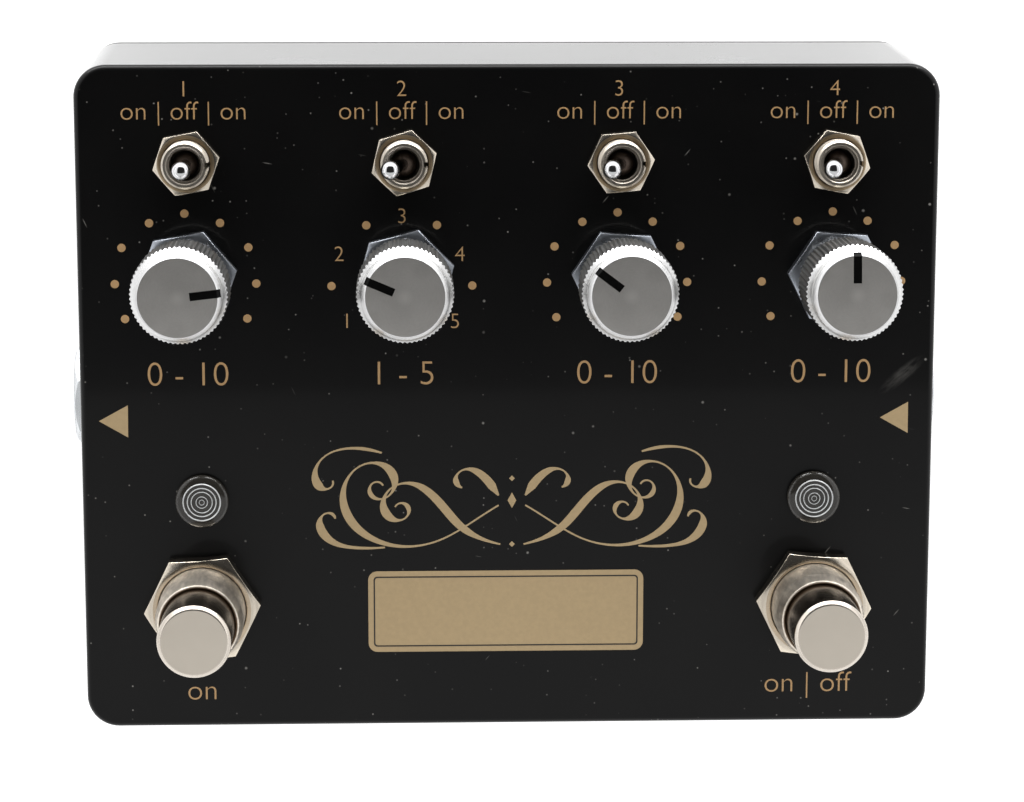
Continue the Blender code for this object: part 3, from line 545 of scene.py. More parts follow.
def span(tree, value, low, high, to_low=0.0, to_high=1.0):
    """The value carried from one range to another, held at the ends."""
    inputs = {"Value": value, "From Min": low, "From Max": high, "To Min": to_low, "To Max": to_high}
    return node(tree, "MapRange", "Result", inputs)


def about(tree, value, centre, reach):
    """A noise value carried to the range about a centre."""
    return span(tree, value, 0.3, 0.7, centre - reach, centre + reach)


def maths(tree, first, second, operation="MULTIPLY"):
    """One number from two, by the operation."""
    return node(tree, "Math", "Value", {0: first, 1: second}, operation=operation)


def blend(tree, factor, first, second):
    """A colour between two, each a plain colour or another node's."""
    inputs = {"Factor": factor}
    for socket, colour in ((MIX_FIRST, first), (MIX_SECOND, second)):
        inputs[socket] = (*colour, 1.0) if isinstance(colour, tuple) else colour
    return node(tree, "Mix", MIX_RESULT, inputs, data_type="RGBA")


def specks(tree, scale, size, share, source=None):
    """Small round spots of uneven strength, scattered over a share of the cells in space."""
    distance = node(tree, "TexVoronoi", "Distance", {"Vector": source or own_space(tree), "Scale": scale})
    red = node(tree, "SeparateColor", "Red", {"Color": distance.node.outputs["Color"]})
    spot = span(tree, distance, size, size * 0.4)
    shown = span(tree, red, 1.0 - share, 1.0 - share * 0.8)
    strength = span(tree, red.node.outputs["Green"], 0.0, 1.0, 0.15)
    return maths(tree, maths(tree, spot, shown), strength)


def vary(tree, principled, colour=None, roughness=None, relief=None):
    """Gives the shader a varying colour, roughness and relief (height, real depth in metres, strength)."""
    normal = relief and node(tree, "Bump", "Normal", dict(zip(("Height", "Distance", "Strength"), relief)))
    for socket, value in (("Base Color", colour), ("Roughness", roughness), ("Normal", normal)):
        if value:
            tree.links.new(value, principled.inputs[socket])


def powder_coat(name, roughness, clear_coat, dusty):
    """Black coat with a fine skin and, on the box, a little dust, a few fibres and a faint smear."""
    dark, light, dust = (0.0024, 0.0024, 0.0025), (0.0036, 0.0035, 0.0034), (0.3, 0.29, 0.27)
    gloss = {"IOR": 1.24, "Coat_Weight": clear_coat, "Coat_Roughness": 0.07, "Coat_IOR": 1.12}
    material, tree, principled = shader(name, dark, roughness, **gloss)
    colour = blend(tree, span(tree, noise(tree, 60, 4), 0.4, 0.75), dark, light)
    if dusty:
        marks = [specks(tree, 330, 0.08, 0.2)]
        for degrees in FIBRE_ANGLES:
            source = slanted(tree, degrees, (1, 9, 1), (0, degrees * 0.001, 0))
            marks.append(specks(tree, 900, 0.08, 0.07, source))
        streaks = noise(tree, 900, 4, slanted(tree, SMEAR_ANGLE, (5, 1, 1)), 0.7)
        reach = length(tree, slanted(tree, SMEAR_ANGLE, SMEAR_SIZE, SMEAR_PLACE))
        marks.append(maths(tree, span(tree, reach, 1.0, 0.2), span(tree, streaks, 0.4, 0.75, 0.0, 0.35)))
        spots = specks(tree, 900, 0.13, 0.24)
        for mark in marks:
            spots = maths(tree, spots, mark, "MAXIMUM")
        colour = blend(tree, maths(tree, spots, 0.85), colour, dust)
    finish = about(tree, noise(tree, 45, 4, roughness=0.6), roughness, 0.02)
    vary(tree, principled, colour, finish, (noise(tree, 2600, 2), 0.000008, 0.35))
    return material


def turned_metal(name, tone, roughness, streaks=0.25, grain=0.03, factors=(220, 220, 4000)):
    """Metal with faint turning streaks round its axis, or scratches along it, and a cloudy finish."""
    material, tree, principled = shader(name, tone, roughness, 1.0)
    marks = noise(tree, 1.0, 4, stretched(tree, factors))
    colour = blend(tree, span(tree, marks, 0.3, 0.7), scaled(tone, 1 - streaks), tone)
    vary(tree, principled, colour, about(tree, noise(tree, 350, 4), roughness, grain), (marks, 0.000005, 0.3))
    return material


def facing_metal(name, tone, roughness):
    """Satin metal whose flat end carries faint rays and rings about its axis, and a paler middle."""
    material, tree, principled = shader(name, tone, roughness, 1.0)
    x = node(tree, "SeparateXYZ", "X", {"Vector": own_space(tree)})
    y = x.node.outputs["Y"]
    reach = length(tree, node(tree, "CombineXYZ", "Vector", {"X": x, "Y": y}))
    turn = maths(tree, maths(tree, y, x, "ARCTAN2"), 6.0)
    rays = node(tree, "CombineXYZ", "Vector", {"X": turn, "Y": maths(tree, reach, 5200.0)})
    grooves = noise(tree, 1.0, 3, rays, 0.7)
    both = maths(tree, maths(tree, grooves, 0.6), maths(tree, noise(tree, 260, 3), 0.4), "ADD")
    colour = blend(tree, span(tree, both, 0.35, 0.65), scaled(tone, 0.9), tone)
    colour = blend(tree, span(tree, reach, 0.0012, 0.0002, 0.0, 0.6), colour, scaled(tone, 1.2))
    vary(tree, principled, colour, about(tree, both, roughness, 0.02), (grooves, 0.000003, 0.25))
    return material


def grained(name, tone, roughness, tint, finish, relief, **sockets):
    """A material with noise of its own in its colour, its roughness and its relief.

    Each starts with the noise's scale and detail. Tint goes on with the range of the noise that shows and two
    colours, finish with the middle and reach of the roughness, and relief with its depth and strength.
    """
    material, tree, principled = shader(name, tone, roughness, **sockets)
    values = [noise(tree, *part[:2]) for part in (tint, finish, relief)]
    colour = blend(tree, span(tree, values[0], *tint[2:4]), *tint[4:])
    vary(tree, principled, colour, about(tree, values[1], *finish[2:]), (values[2], *relief[2:]))
    return material


def moulded_plastic(name, tone, roughness, **sockets):
    """Moulded plastic with a fine matt skin."""
    tint = (240, 4, 0.35, 0.7, tone, scaled(tone, 1.5, 0.001))
    return grained(name, tone, roughness, tint, (900, 3, roughness, 0.06), (4000, 2, 0.00001, 0.3), **sockets)


def pointer_paint(name, tone, roughness):
    """Matt paint that mirrors little."""
    return moulded_plastic(name, tone, roughness, IOR=1.18)


def rubber(name, dark, dusty):
    """Black rubber with a dusty, matt skin."""
    tint = (500, 5, 0.45, 0.75, dark, dusty)
    return grained(name, dark, 0.7, tint, (700, 3, 0.71, 0.09), (3000, 3, 0.00002, 0.5))


def screen_print(name, red, green, blue):
    """Tan screen-printed ink with a fine, slightly uneven grain."""
    tone = linear(red, green, blue)
    tint = (1800, 3, 0.35, 0.7, linear(red - 6, green - 5, blue - 4), tone)
    return grained(name, tone, 0.5, tint, (1500, 2, 0.51, 0.05), (5000, 2, 0.000004, 0.3))


def clear_plastic(name, tone, roughness, clearness=1.0):
    """Clear moulded plastic, tinted by its tone."""
    material, tree, principled = shader(name, tone, roughness, Transmission_Weight=clearness, IOR=1.49)
    finish = span(tree, noise(tree, 900, 2), 0.3, 0.7, roughness * 0.8, roughness * 1.3)
    vary(tree, principled, roughness=finish)
    return material


def laminate(name, mask, track):
    """Green circuit board with faint tracks under its mask."""
    material, tree, principled = shader(name, mask, 0.4)
    tracks = span(tree, noise(tree, 330, 0, stretched(tree, (1, 0.25, 1))), 0.5, 0.53)
    vary(tree, principled, blend(tree, tracks, mask, track), relief=(tracks, 0.00003, 0.5))
    return material


LOOKS = {
    powder_coat: {
        "powder_coat": (0.34, 1.0, True),
        "base_coat": (0.6, 0.0, False),
    },
    turned_metal: {
        "screw_steel": ((0.34, 0.33, 0.32), 0.34),
        "knob_cut": ((0.57, 0.57, 0.57), 0.3, 0.16),
        # The knob's neck is a paler copy of its aluminium, which is painted light, and its knurled side is a
        # darker copy, which is painted shade.
        "knob_neck": ((0.85, 0.85, 0.84), 0.65),
        "knob_side": ((0.46, 0.46, 0.455), 0.4, 0.45, 0.03, (2600, 2600, 90)),
        "pot_can": ((0.6, 0.58, 0.52), 0.32),
        "shaft_metal": ((0.63, 0.62, 0.6), 0.28),
        "pot_nut_steel": ((0.42, 0.45, 0.5), 0.28),
        "toggle_bushing": ((0.54, 0.49, 0.42), 0.34),
        "toggle_nut_nickel": ((0.7, 0.63, 0.53), 0.22),
        # The flat tops of the nuts are darker, browner copies of their nickel: painted shade.
        "toggle_nut_top": ((0.55, 0.42, 0.27), 0.38, 0.35, 0.05),
        "lever_chrome": ((0.57, 0.57, 0.58), 0.09, 0.03, 0.01),
        # The lever's pivot ball, down in the bushing, is painted dark: painted shade.
        "lever_pivot": ((0.11, 0.085, 0.07), 0.45),
        "footswitch_nickel": ((0.8, 0.725, 0.625), 0.48, 0.33, 0.08, (1700, 1700, 500)),
        "footswitch_nut_nickel": ((0.68, 0.61, 0.51), 0.22),
        "footswitch_nut_top": ((0.56, 0.46, 0.34), 0.26, 0.3, 0.04),
        "cap_nickel": ((0.55, 0.5, 0.43), 0.34, 0.04, 0.02),
        "cap_edge": ((0.56, 0.51, 0.45), 0.26, 0.08, 0.03),
        # The cap's upright side is a darker copy of its nickel: painted shade.
        "cap_side": ((0.26, 0.21, 0.165), 0.22, 0.2, 0.03),
        "spring_steel": ((0.45, 0.44, 0.42), 0.3),
        "jack_nut_nickel": ((0.66, 0.68, 0.7), 0.26),
    },
    rubber: {
        "foot_rubber": ((0.011, 0.011, 0.0115), (0.035, 0.034, 0.032)),
    },
    facing_metal: {
        "knob_aluminium": ((0.68, 0.66, 0.63), 0.36),
    },
    pointer_paint: {
        "pointer_paint": ((0.001, 0.001, 0.001), 0.4),
    },
    moulded_plastic: {
        "cap_seal": ((0.26, 0.175, 0.11), 0.5),
        # Pale crests of the lens ridges: painted highlight.
        "lens_crest": ((0.6, 0.61, 0.62), 0.25),
        "jack_plastic": ((0.006, 0.006, 0.0065), 0.38),
        "inlet_plastic": ((0.006, 0.006, 0.0065), 0.38),
        "chip_resin": ((0.012, 0.012, 0.013), 0.5),
        "capacitor_sleeve": ((0.01, 0.014, 0.05), 0.35),
        "print_black": ((0.004, 0.004, 0.004), 0.45),
    },
    clear_plastic: {
        "lens_clear": ((0.058, 0.053, 0.045), 0.14, 0.6),
        "led_resin": ((0.8, 0.81, 0.82), 0.12),
    },
    laminate: {
        "board_laminate": ((0.006, 0.055, 0.022), (0.012, 0.085, 0.035)),
    },
    screen_print: {
        "print_full": (181, 157, 118),
        "print_thin": (182, 146, 101),
    },
}
MATERIALS = {
    slot: maker(f"{slot}_looks", *values) for maker, rows in LOOKS.items() for slot, values in rows.items()
}


# The cast box and what closes it

def rounded_outline(half_x, half_y, radius, height, steps=14):
    """Points of a rectangle with round corners, at a height."""
    points = []
    for quarter, (side_x, side_y) in enumerate(((1, 1), (-1, 1), (-1, -1), (1, -1))):
        for i in range(steps + 1):
            x, y = polar(radius, math.pi / 2 * (quarter + i / steps))
            points.append((side_x * (half_x - radius) + x, side_y * (half_y - radius) + y, height))
    return points


def case_ring(inset, drop):
    """The box's outline at a depth below the face, drawn in by an inset."""
    grown = LEAN_PER_DEPTH * drop - CASE_LEAN - inset
    return rounded_outline(FOOT_HALF_X + grown, FOOT_HALF_Y + grown, CORNER_RADIUS - inset, FACE_Z - drop)


def places_of(name, numbers=COLUMNS):
    """The places of numbered CAD nodes, seen from above."""
    return [middle(f"{name}_{number}").xy for number in numbers]


def build_enclosure():
    """The cast box, open below, with its bosses and every hole."""
    rings = [case_ring(0, CASE_HEIGHT)]
    for i in range(FACE_EDGE_STEPS + 1):
        across, rise = polar(1, math.pi / 2 * i / FACE_EDGE_STEPS)
        rings.append(case_ring(FACE_EDGE_RADIUS * (1 - across), FACE_EDGE_RADIUS * (1 - rise)))
    drops = (CASE_HEIGHT + CUT_OVERRUN, FACE_THICKNESS)
    cavity = lofted([case_ring(WALL_THICKNESS, drop) for drop in drops])
    screws = places_of("lid_screw")
    bosses = pegs(screws, BOSS_RADIUS, CASE_Z - 2 * CUT_OVERRUN, FACE_Z, SMALL_SIDES)
    pilots = (CASE_Z - CUT_OVERRUN, LID_Z + SCREW_LENGTH + CUT_OVERRUN, SMALL_SIDES)
    tools = [cut(cavity, bosses), pegs(screws, SCREW_RADIUS + SEAT_GAP, *pilots)]
    holes = [(name, sizes[0], sizes[4]) for name, sizes in FACE_NUTS.items()]
    for name, numbers, radius in holes + [("lens", SIDES, LENS_BARREL_RADIUS)]:
        low, high = FACE_Z - FACE_THICKNESS - CUT_OVERRUN, FACE_Z + CUT_OVERRUN
        tools.append(pegs(places_of(name, numbers), radius + SEAT_GAP, low, high))
    for nut, side, radius, thickness in WALL_NUTS:
        hole = pegs([(0, 0)], radius + SEAT_GAP, -WALL_THICKNESS - CUT_OVERRUN, CUT_OVERRUN)
        hole.matrix_world = Matrix.Translation(wall_point(nut, side, thickness)) @ out_of_wall(side)
        tools.append(hole)
    mesh = finished(cut(lofted(rings), *tools), "powder_coat")
    redo("enclosure", "cast", mesh, (0, 0, 0))


def wall_point(nut, side, thickness):
    """The point on an end wall that a socket's nut stands on."""
    return middle(nut) - wall_normal(side) * (SEAT_GAP + thickness / 2)


def wall_normal(side):
    """The direction that an end wall faces."""
    return Vector((side * math.cos(WALL_ANGLE), 0, math.sin(WALL_ANGLE)))


WALL_NUTS = (
    ("jack_nut_left", -1, JACK_BUSHING_RADIUS, JACK_NUT_THICKNESS),
    ("jack_nut_right", 1, JACK_BUSHING_RADIUS, JACK_NUT_THICKNESS),
    ("dc_nut", 1, DC_BUSHING_RADIUS, DC_NUT_THICKNESS),
)


def build_base_plate():
    """The flat plate that closes the box, with softened edges and countersunk holes."""
    rings = []
    for inset, height in ((LID_EDGE, 0), (0, LID_EDGE), (0, LID_THICKNESS)):
        sizes = (size - inset for size in (FOOT_HALF_X, FOOT_HALF_Y, CORNER_RADIUS))
        rings.append(rounded_outline(*sizes, LID_Z + height))
    body = lofted(rings)
    slope = (SCREW_HEAD_RADIUS - SCREW_RADIUS) / SCREW_HEAD_DEPTH
    mouth = SCREW_HEAD_RADIUS + SEAT_GAP + slope * CUT_OVERRUN
    neck = SCREW_RADIUS + SEAT_GAP
    above = LID_THICKNESS + CUT_OVERRUN
    sink = [(0, -CUT_OVERRUN), (mouth, -CUT_OVERRUN), (neck, SCREW_HEAD_DEPTH), (neck, above), (0, above)]
    for number in COLUMNS:
        hole = turned(sink, SMALL_SIDES)
        hole.location = over(f"lid_screw_{number}", LID_Z)
        cut(body, hole)
    redo("base_plate", "sheet", finished(body, "base_coat"), (0, 0, 0))


def build_screws():
    """The four countersunk screws, with tapered cross recesses and threads."""
    profile = [(0, 0), (SCREW_HEAD_RADIUS - SCREW_HEAD_EDGE, 0), (SCREW_HEAD_RADIUS, SCREW_HEAD_EDGE)]
    profile.append((SCREW_RADIUS, SCREW_HEAD_DEPTH))
    low, high = SCREW_HEAD_DEPTH + SCREW_THREAD_INSET, SCREW_LENGTH - SCREW_TIP
    profile += threaded(SCREW_RADIUS, low, high, SCREW_THREAD_PITCH)
    profile += [(SCREW_RADIUS * 0.7, SCREW_LENGTH), (0, SCREW_LENGTH)]
    body = turned(profile, SMALL_SIDES)
    mouth = (RECESS_LENGTH / 2 + 2 * RECESS_TAPER, RECESS_WIDTH / 2 + RECESS_TAPER, -CUT_OVERRUN / 4)
    floor = (RECESS_LENGTH / 4, RECESS_WIDTH / 2 - RECESS_TAPER, RECESS_DEPTH)
    for degrees in (0, 90):
        blade = lofted([rectangle(*mouth), rectangle(*floor)])
        blade.matrix_world = spin(degrees)
        cut(body, blade)
    mesh = finished(body, "screw_steel")
    for number in COLUMNS:
        screw = f"lid_screw_{number}"
        place, turn = over(screw, LID_Z), spin(SCREW_TURN * number)
        put(f"lid_screw_cross_{number}", mesh, place, turn, instead=[screw])


def build_feet():
    """The four rubber feet, softly rounded, each with a dimple below."""
    corners = [
        (0, FOOT_DIMPLE_DEPTH),
        (FOOT_DIMPLE_RADIUS * 0.7, FOOT_DIMPLE_DEPTH, FOOT_FINE_FILLET),
        (FOOT_DIMPLE_RADIUS, 0, FOOT_FINE_FILLET),
        (FOOT_RADIUS - FOOT_TAPER, 0, FOOT_LOW_FILLET),
        (FOOT_RADIUS, FOOT_TAPER * 2, FOOT_SIDE_FILLET),
        (FOOT_RADIUS, FOOT_HEIGHT, FOOT_FINE_FILLET),
        (0, FOOT_HEIGHT),
    ]
    mesh = finished(turned(rounded(corners)), "foot_rubber")
    for number in COLUMNS:
        foot = f"foot_{number}"
        put(f"foot_bumper_{number}", mesh, over(foot, 0), instead=[foot])


# Nuts, controls and switches

def nut_body(flats, thickness, bolt_radius):
    """A hexagon nut with a chamfered upper face and bore, standing on Z = 0."""
    apothem = flats / 2
    bore = bolt_radius + SEAT_GAP / 2
    flat_top = apothem * NUT_TOP_SHARE
    slope = math.tan(math.radians(NUT_CHAMFER_ANGLE))
    rows = ((bore, 0), (bore, thickness - NUT_LIP), (bore + NUT_LIP, thickness), (flat_top, thickness))
    rings = [circle(radius, height, FINE_SIDES) for radius, height in rows]
    upper, lower = [], []
    for angle in turns(FINE_SIDES):
        reach = apothem / math.cos(angle % (math.pi / 3) - math.pi / 6)
        x, y = polar(reach, angle)
        upper.append((x, y, thickness - (reach - flat_top) * slope))
        lower.append((x, y, 0))
    return lofted(rings + [upper, lower], closed=True)


def build_nuts():
    """The hexagon nuts on the face."""
    for kind, (numbers, angles, flats, thickness, radius, edge, slots) in FACE_NUTS.items():
        # The flat top takes the second slot, which is painted shade.
        def top_in_painted_shade(reach, height, _):
            return len(slots) > 1 and height > thickness * 0.9 and reach < flats / 2 * 0.97

        mesh = finished(nut_body(flats, thickness, radius), *slots, pick=top_in_painted_shade)
        for number, degrees in zip(numbers, angles):
            nut = f"{kind}_{number}"
            redo(nut, "hexagon", mesh, over(nut, FACE_Z + SEAT_GAP), spin(degrees), edge)


def knob_ring(radius, height, depth=0.0, slope=0.0):
    """A knob's outline, with teeth of the given depth that climb as they go in."""
    points = []
    for angle in turns(6 * KNOB_TEETH):
        sunk = depth * (0.5 + 0.5 * math.cos(angle * KNOB_TEETH))
        points.append((*polar(radius - sunk, angle), height + sunk * slope))
    return points


def knob_body():
    """The knob's knurled barrel, neck, bevels and hollow foot."""
    skirt = KNOB_RADIUS - KNOB_SKIRT_WALL
    skirt_top = KNOB_BOTTOM_RISE + KNOB_SKIRT_DEPTH
    bore = SHAFT_RADIUS + SEAT_GAP
    rim = KNOB_NECK_LOW_RISE - (KNOB_RADIUS - KNOB_NECK_RADIUS)
    neck, fine, edge = KNOB_NECK_RADIUS, KNOB_FINE_EDGE, KNOB_TOP_EDGE
    rows = (
        (bore, SHAFT_RISE + SEAT_GAP),
        (bore, skirt_top),
        (skirt, skirt_top),
        (skirt, KNOB_BOTTOM_RISE),
        (KNOB_RADIUS - KNOB_FOOT_EDGE, KNOB_BOTTOM_RISE),
        (KNOB_RADIUS, KNOB_BOTTOM_RISE + KNOB_FOOT_EDGE, KNOB_TOOTH_DEPTH, -1),
        (KNOB_RADIUS, rim, KNOB_TOOTH_DEPTH, 1),
        (neck + fine, KNOB_NECK_LOW_RISE - fine),
        (neck, KNOB_NECK_LOW_RISE + fine),
        (neck, KNOB_NECK_HIGH_RISE - fine),
        (neck - fine, KNOB_NECK_HIGH_RISE + fine),
        (KNOB_FACE_RADIUS + edge * 0.6, KNOB_TOP_RISE - edge * 0.6),
        (KNOB_FACE_RADIUS - edge * 0.4, KNOB_TOP_RISE),
    )
    return lofted([knob_ring(*row) for row in rows])


def build_knobs():
    """The knurled knobs, with a satin face, bright cut bevels, a black pointer in its groove, painted shade
    on the knurled side and painted light on the neck.
    """
    floor = KNOB_TOP_RISE - POINTER_DEPTH
    high = (KNOB_RADIUS + CUT_OVERRUN, POINTER_WIDTH / 2, KNOB_TOP_RISE + CUT_OVERRUN)
    body = cut(knob_body(), block((POINTER_START, -POINTER_WIDTH / 2, floor), high))

    # Upright faces of the knurled side take painted shade, and those of the neck take painted light.
    def part(reach, _, up):
        if abs(up) < 0.3:
            return 3 if reach > KNOB_NECK_RADIUS * 1.03 else 2 if reach > KNOB_FACE_RADIUS else 0
        return 1 if 0.3 < up < 0.95 and reach > KNOB_FACE_RADIUS * 0.98 else 0

    mesh = finished(body, "knob_aluminium", "knob_cut", "knob_neck", "knob_side", pick=part)
    pointer = finished(pointer_body(floor), "pointer_paint")
    for number, degrees in zip(COLUMNS, POINTER_ANGLES):
        knob, rides = f"knob_{number}", f"knob_{number}_body"
        place, turn = over(knob, FACE_Z), spin(degrees)
        redo(knob, "turned", mesh, place, turn, body=rides)
        put(f"{knob}_pointer", pointer, place, turn, body=rides)


def pointer_body(floor):
    """The black filling of a knob's pointer groove, which follows the bevel down."""
    top = KNOB_TOP_RISE - POINTER_SUNK
    start, reach, floor = POINTER_START + POINTER_GAP, KNOB_NECK_RADIUS - POINTER_SHORT, floor + POINTER_GAP
    half = POINTER_WIDTH / 2 - POINTER_GAP
    bend = KNOB_FACE_RADIUS - KNOB_FINE_EDGE
    section = ((start, floor), (start, top), (bend, top), (reach, top - (reach - bend)), (reach, floor))
    return lofted([[(x, y, z) for x, z in section] for y in (-half, half)])


def lever_profile():
    """The lever's outline, from its tail through the pivot ball to its tip, with the pivot at height 0."""
    pivot = TOGGLE_BORE_RADIUS - RUNNING_GAP
    profile = [(0, -LEVER_TAIL_LENGTH), (LEVER_TAIL_RADIUS, -LEVER_TAIL_LENGTH)]
    profile += [polar(pivot, math.radians(degrees)) for degrees in range(-70, 63, 11)]
    profile.append((LEVER_STEM_RADIUS * 0.98, pivot + LEVER_STEM_START))
    profile.append((LEVER_STEM_RADIUS, LEVER_LENGTH - 2 * LEVER_TIP_RADIUS))
    for degrees in range(-42, 90, 6):
        across, rise = polar(LEVER_TIP_RADIUS, math.radians(degrees))
        profile.append((across, LEVER_LENGTH + rise))
    return profile + [(0, LEVER_LENGTH + LEVER_TIP_RADIUS)]


def bushed_block(size, top, foot, radius, thread, mouth, hollow, sides=HOLE_SIDES):
    """A block with a threaded bushing on its top and a turned hollow through both.

    The thread is given by its low end, high end and pitch, the mouth and the hollow by profile points.
    """
    x, y, z = size[0] / 2, size[1] / 2, size[2]
    body = block((-x, -y, top - z), (x, y, top))
    bushing = turned([(0, foot), (radius, foot)] + threaded(radius, *thread) + mouth, sides)
    return cut(join(body, bushing), turned(hollow, sides))


def toggle_body():
    """A toggle switch's block, with a threaded bushing, its keyway and its bore."""
    radius, rise, edge = TOGGLE_BUSHING_RADIUS, TOGGLE_BUSHING_RISE, TOGGLE_BUSHING_EDGE
    foot = -CEILING_DROP - TOGGLE_BODY_SIZE.z
    thread = (-CEILING_DROP + THREAD_START, rise - edge - THREAD_END, TOGGLE_THREAD_PITCH)
    floor = LEVER_PIVOT_RISE - LEVER_TAIL_LENGTH - CUT_OVERRUN
    bore, mouth, lip = TOGGLE_BORE_RADIUS, TOGGLE_MOUTH_RADIUS, TOGGLE_MOUTH_LIP
    shelf = rise - TOGGLE_MOUTH_DEPTH
    hollow = [(0, floor), (bore, floor), (bore, shelf - lip), (bore + lip, shelf), (mouth, shelf)]
    hollow += [(mouth, rise - lip), (mouth + lip * 2, rise + lip), (0, rise + lip)]
    rim = [(radius, rise - edge), (radius - edge, rise), (0, rise)]
    body = bushed_block(TOGGLE_BODY_SIZE, -CEILING_DROP, foot / 2, radius, thread, rim, hollow)
    low = (radius - TOGGLE_KEYWAY_DEPTH, -TOGGLE_KEYWAY_WIDTH / 2, -CEILING_DROP + TOGGLE_KEYWAY_START)
    return cut(body, block(low, (radius + CUT_OVERRUN, TOGGLE_KEYWAY_WIDTH / 2, rise + CUT_OVERRUN)))


def build_toggles():
    """The toggle switches' bodies and levers, with painted shade on the lever's pivot ball down in the
    bushing.
    """
    mesh = finished(toggle_body(), "toggle_bushing")

    def pivot_in_painted_shade(_, height, up):
        return height < TOGGLE_BORE_RADIUS

    lever_mesh = finished(turned(lever_profile(), FINE_SIDES), "lever_chrome", "lever_pivot", pick=pivot_in_painted_shade)
    for number, state in zip(COLUMNS, LEVER_STATES):
        place = over(f"toggle_nut_{number}", FACE_Z)
        redo(f"toggle_body_{number}", "threaded", mesh, place)
        pivot = place + Vector((0, 0, LEVER_PIVOT_RISE))
        throw = Matrix.Rotation(math.radians(LEVER_THROW_ANGLE * state), 4, "Y")
        redo(f"toggle_lever_{number}", "bat", lever_mesh, pivot, throw, body=f"lever_{number}_body")


def footswitch_body():
    """A footswitch's block and lugs, with a threaded bushing and its bore."""
    width, rise, radius = FOOTSWITCH_BODY_WIDTH, FOOTSWITCH_BUSHING_RISE, FOOTSWITCH_BUSHING_RADIUS
    foot = -CEILING_DROP - FOOTSWITCH_BODY_HEIGHT
    shoulder = (radius, rise - FOOTSWITCH_SHOULDER_DROP, FOOTSWITCH_SHOULDER_FILLET)
    mouth = (FOOTSWITCH_MOUTH_RADIUS, rise, FOOTSWITCH_LIP_RADIUS)
    rim = rounded([(radius, FOOTSWITCH_NUT_THICKNESS), shoulder, mouth, (0, rise)], 8)
    thread = (-CEILING_DROP + THREAD_START, FOOTSWITCH_NUT_THICKNESS, FOOTSWITCH_THREAD_PITCH)
    bore, seal = PLUNGER_RADIUS + RUNNING_GAP, PLUNGER_RADIUS + PLUNGER_SEAL_GAP
    floor = -PLUNGER_SHOULDER_DROP - PLUNGER_STEM_LENGTH - PLUNGER_TRAVEL - 2 * RUNNING_GAP
    step, bevel, seal_top = FOOTSWITCH_SEAL_STEP, FOOTSWITCH_MOUTH_BEVEL, rise - FOOTSWITCH_SEAL_DROP
    hollow = [(0, floor), (bore, floor), (bore, seal_top - 3 * step), (seal, seal_top - 2 * step)]
    hollow += [(seal, seal_top), (bore, rise - step), (bore, rise - bevel)]
    hollow += [(bore + bevel * 2, rise + bevel), (0, rise + bevel)]
    size = (width, width, FOOTSWITCH_BODY_HEIGHT)
    body = bushed_block(size, -CEILING_DROP, foot / 2, radius, thread, rim, hollow, FINE_SIDES)
    lug = FOOTSWITCH_LUG_SIZE
    pitch = width / 2 - lug.x
    for x in (-pitch, 0, pitch):
        for y in (-pitch, 0, pitch):
            heights = (foot - lug.z, foot + CUT_OVERRUN)
            join(body, lofted([rectangle(lug.x / 2, lug.y / 2, height, x, y) for height in heights]))
    return body


def plunger_body():
    """A footswitch's round push cap and the stem below it."""
    stem_foot = -PLUNGER_SHOULDER_DROP - PLUNGER_STEM_LENGTH
    corners = [
        (0, stem_foot),
        (PLUNGER_STEM_RADIUS, stem_foot, PLUNGER_STEM_FILLET),
        (PLUNGER_STEM_RADIUS, -PLUNGER_SHOULDER_DROP),
        (PLUNGER_RADIUS, -PLUNGER_SHOULDER_DROP, PLUNGER_SHOULDER_FILLET),
        (PLUNGER_RADIUS, PLUNGER_RISE - PLUNGER_EDGE, PLUNGER_EDGE_FILLET),
        (PLUNGER_RADIUS - PLUNGER_EDGE, PLUNGER_RISE, PLUNGER_EDGE_FILLET),
        (PLUNGER_DIMPLE_RADIUS, PLUNGER_RISE),
        (0, PLUNGER_RISE - PLUNGER_DIMPLE_DEPTH),
    ]
    return turned(rounded(corners, 8), FINE_SIDES)


def build_footswitches():
    """The footswitches: block and bushing, plunger, and a return spring with a mesh of its own."""
    def in_bore(reach, height, _):
        return height > 0 and reach < PLUNGER_RADIUS + RUNNING_GAP * 1.02

    # The cap's upright side takes painted shade, a darker copy of its nickel.
    def part(reach, _, up):
        return (1 if up > 0.2 else 2) if up < 0.98 and reach > PLUNGER_STEM_RADIUS else 0

    mesh = finished(footswitch_body(), "footswitch_nickel", "cap_seal", pick=in_bore)
    cap_mesh = finished(plunger_body(), "cap_nickel", "cap_edge", "cap_side", pick=part)
    for side in SIDES:
        cap = f"footswitch_plunger_{side}"
        place = over(cap, FACE_Z)
        redo(f"footswitch_body_{side}", "threaded", mesh, place)
        redo(cap, "cap", cap_mesh, place, body=f"plunger_{side}_body")
        low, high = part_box(f"footswitch_spring_{side}")
        length = high.z - low.z
        place = over(cap, low.z)
        coil = finished(spring_body(length), "spring_steel")
        spring = redo(f"footswitch_spring_{side}", "coil", coil, place)
        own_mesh(spring)


def spring_body(length):
    """A return spring's coil, standing on Z = 0."""
    coil = (PLUNGER_STEM_RADIUS + PLUNGER_RADIUS) / 2
    count = SPRING_TURNS * SPRING_STEPS
    climb = (length - 2 * SPRING_WIRE_RADIUS) / count
    wire = circle(SPRING_WIRE_RADIUS, 0, SPRING_WIRE_SIDES)
    rings = []
    for i in range(count + 1):
        angle = math.tau * i / SPRING_STEPS
        height = SPRING_WIRE_RADIUS + climb * i
        rings.append([(*polar(coil + across, angle), height + rise) for across, rise, _ in wire])
    return lofted(rings)


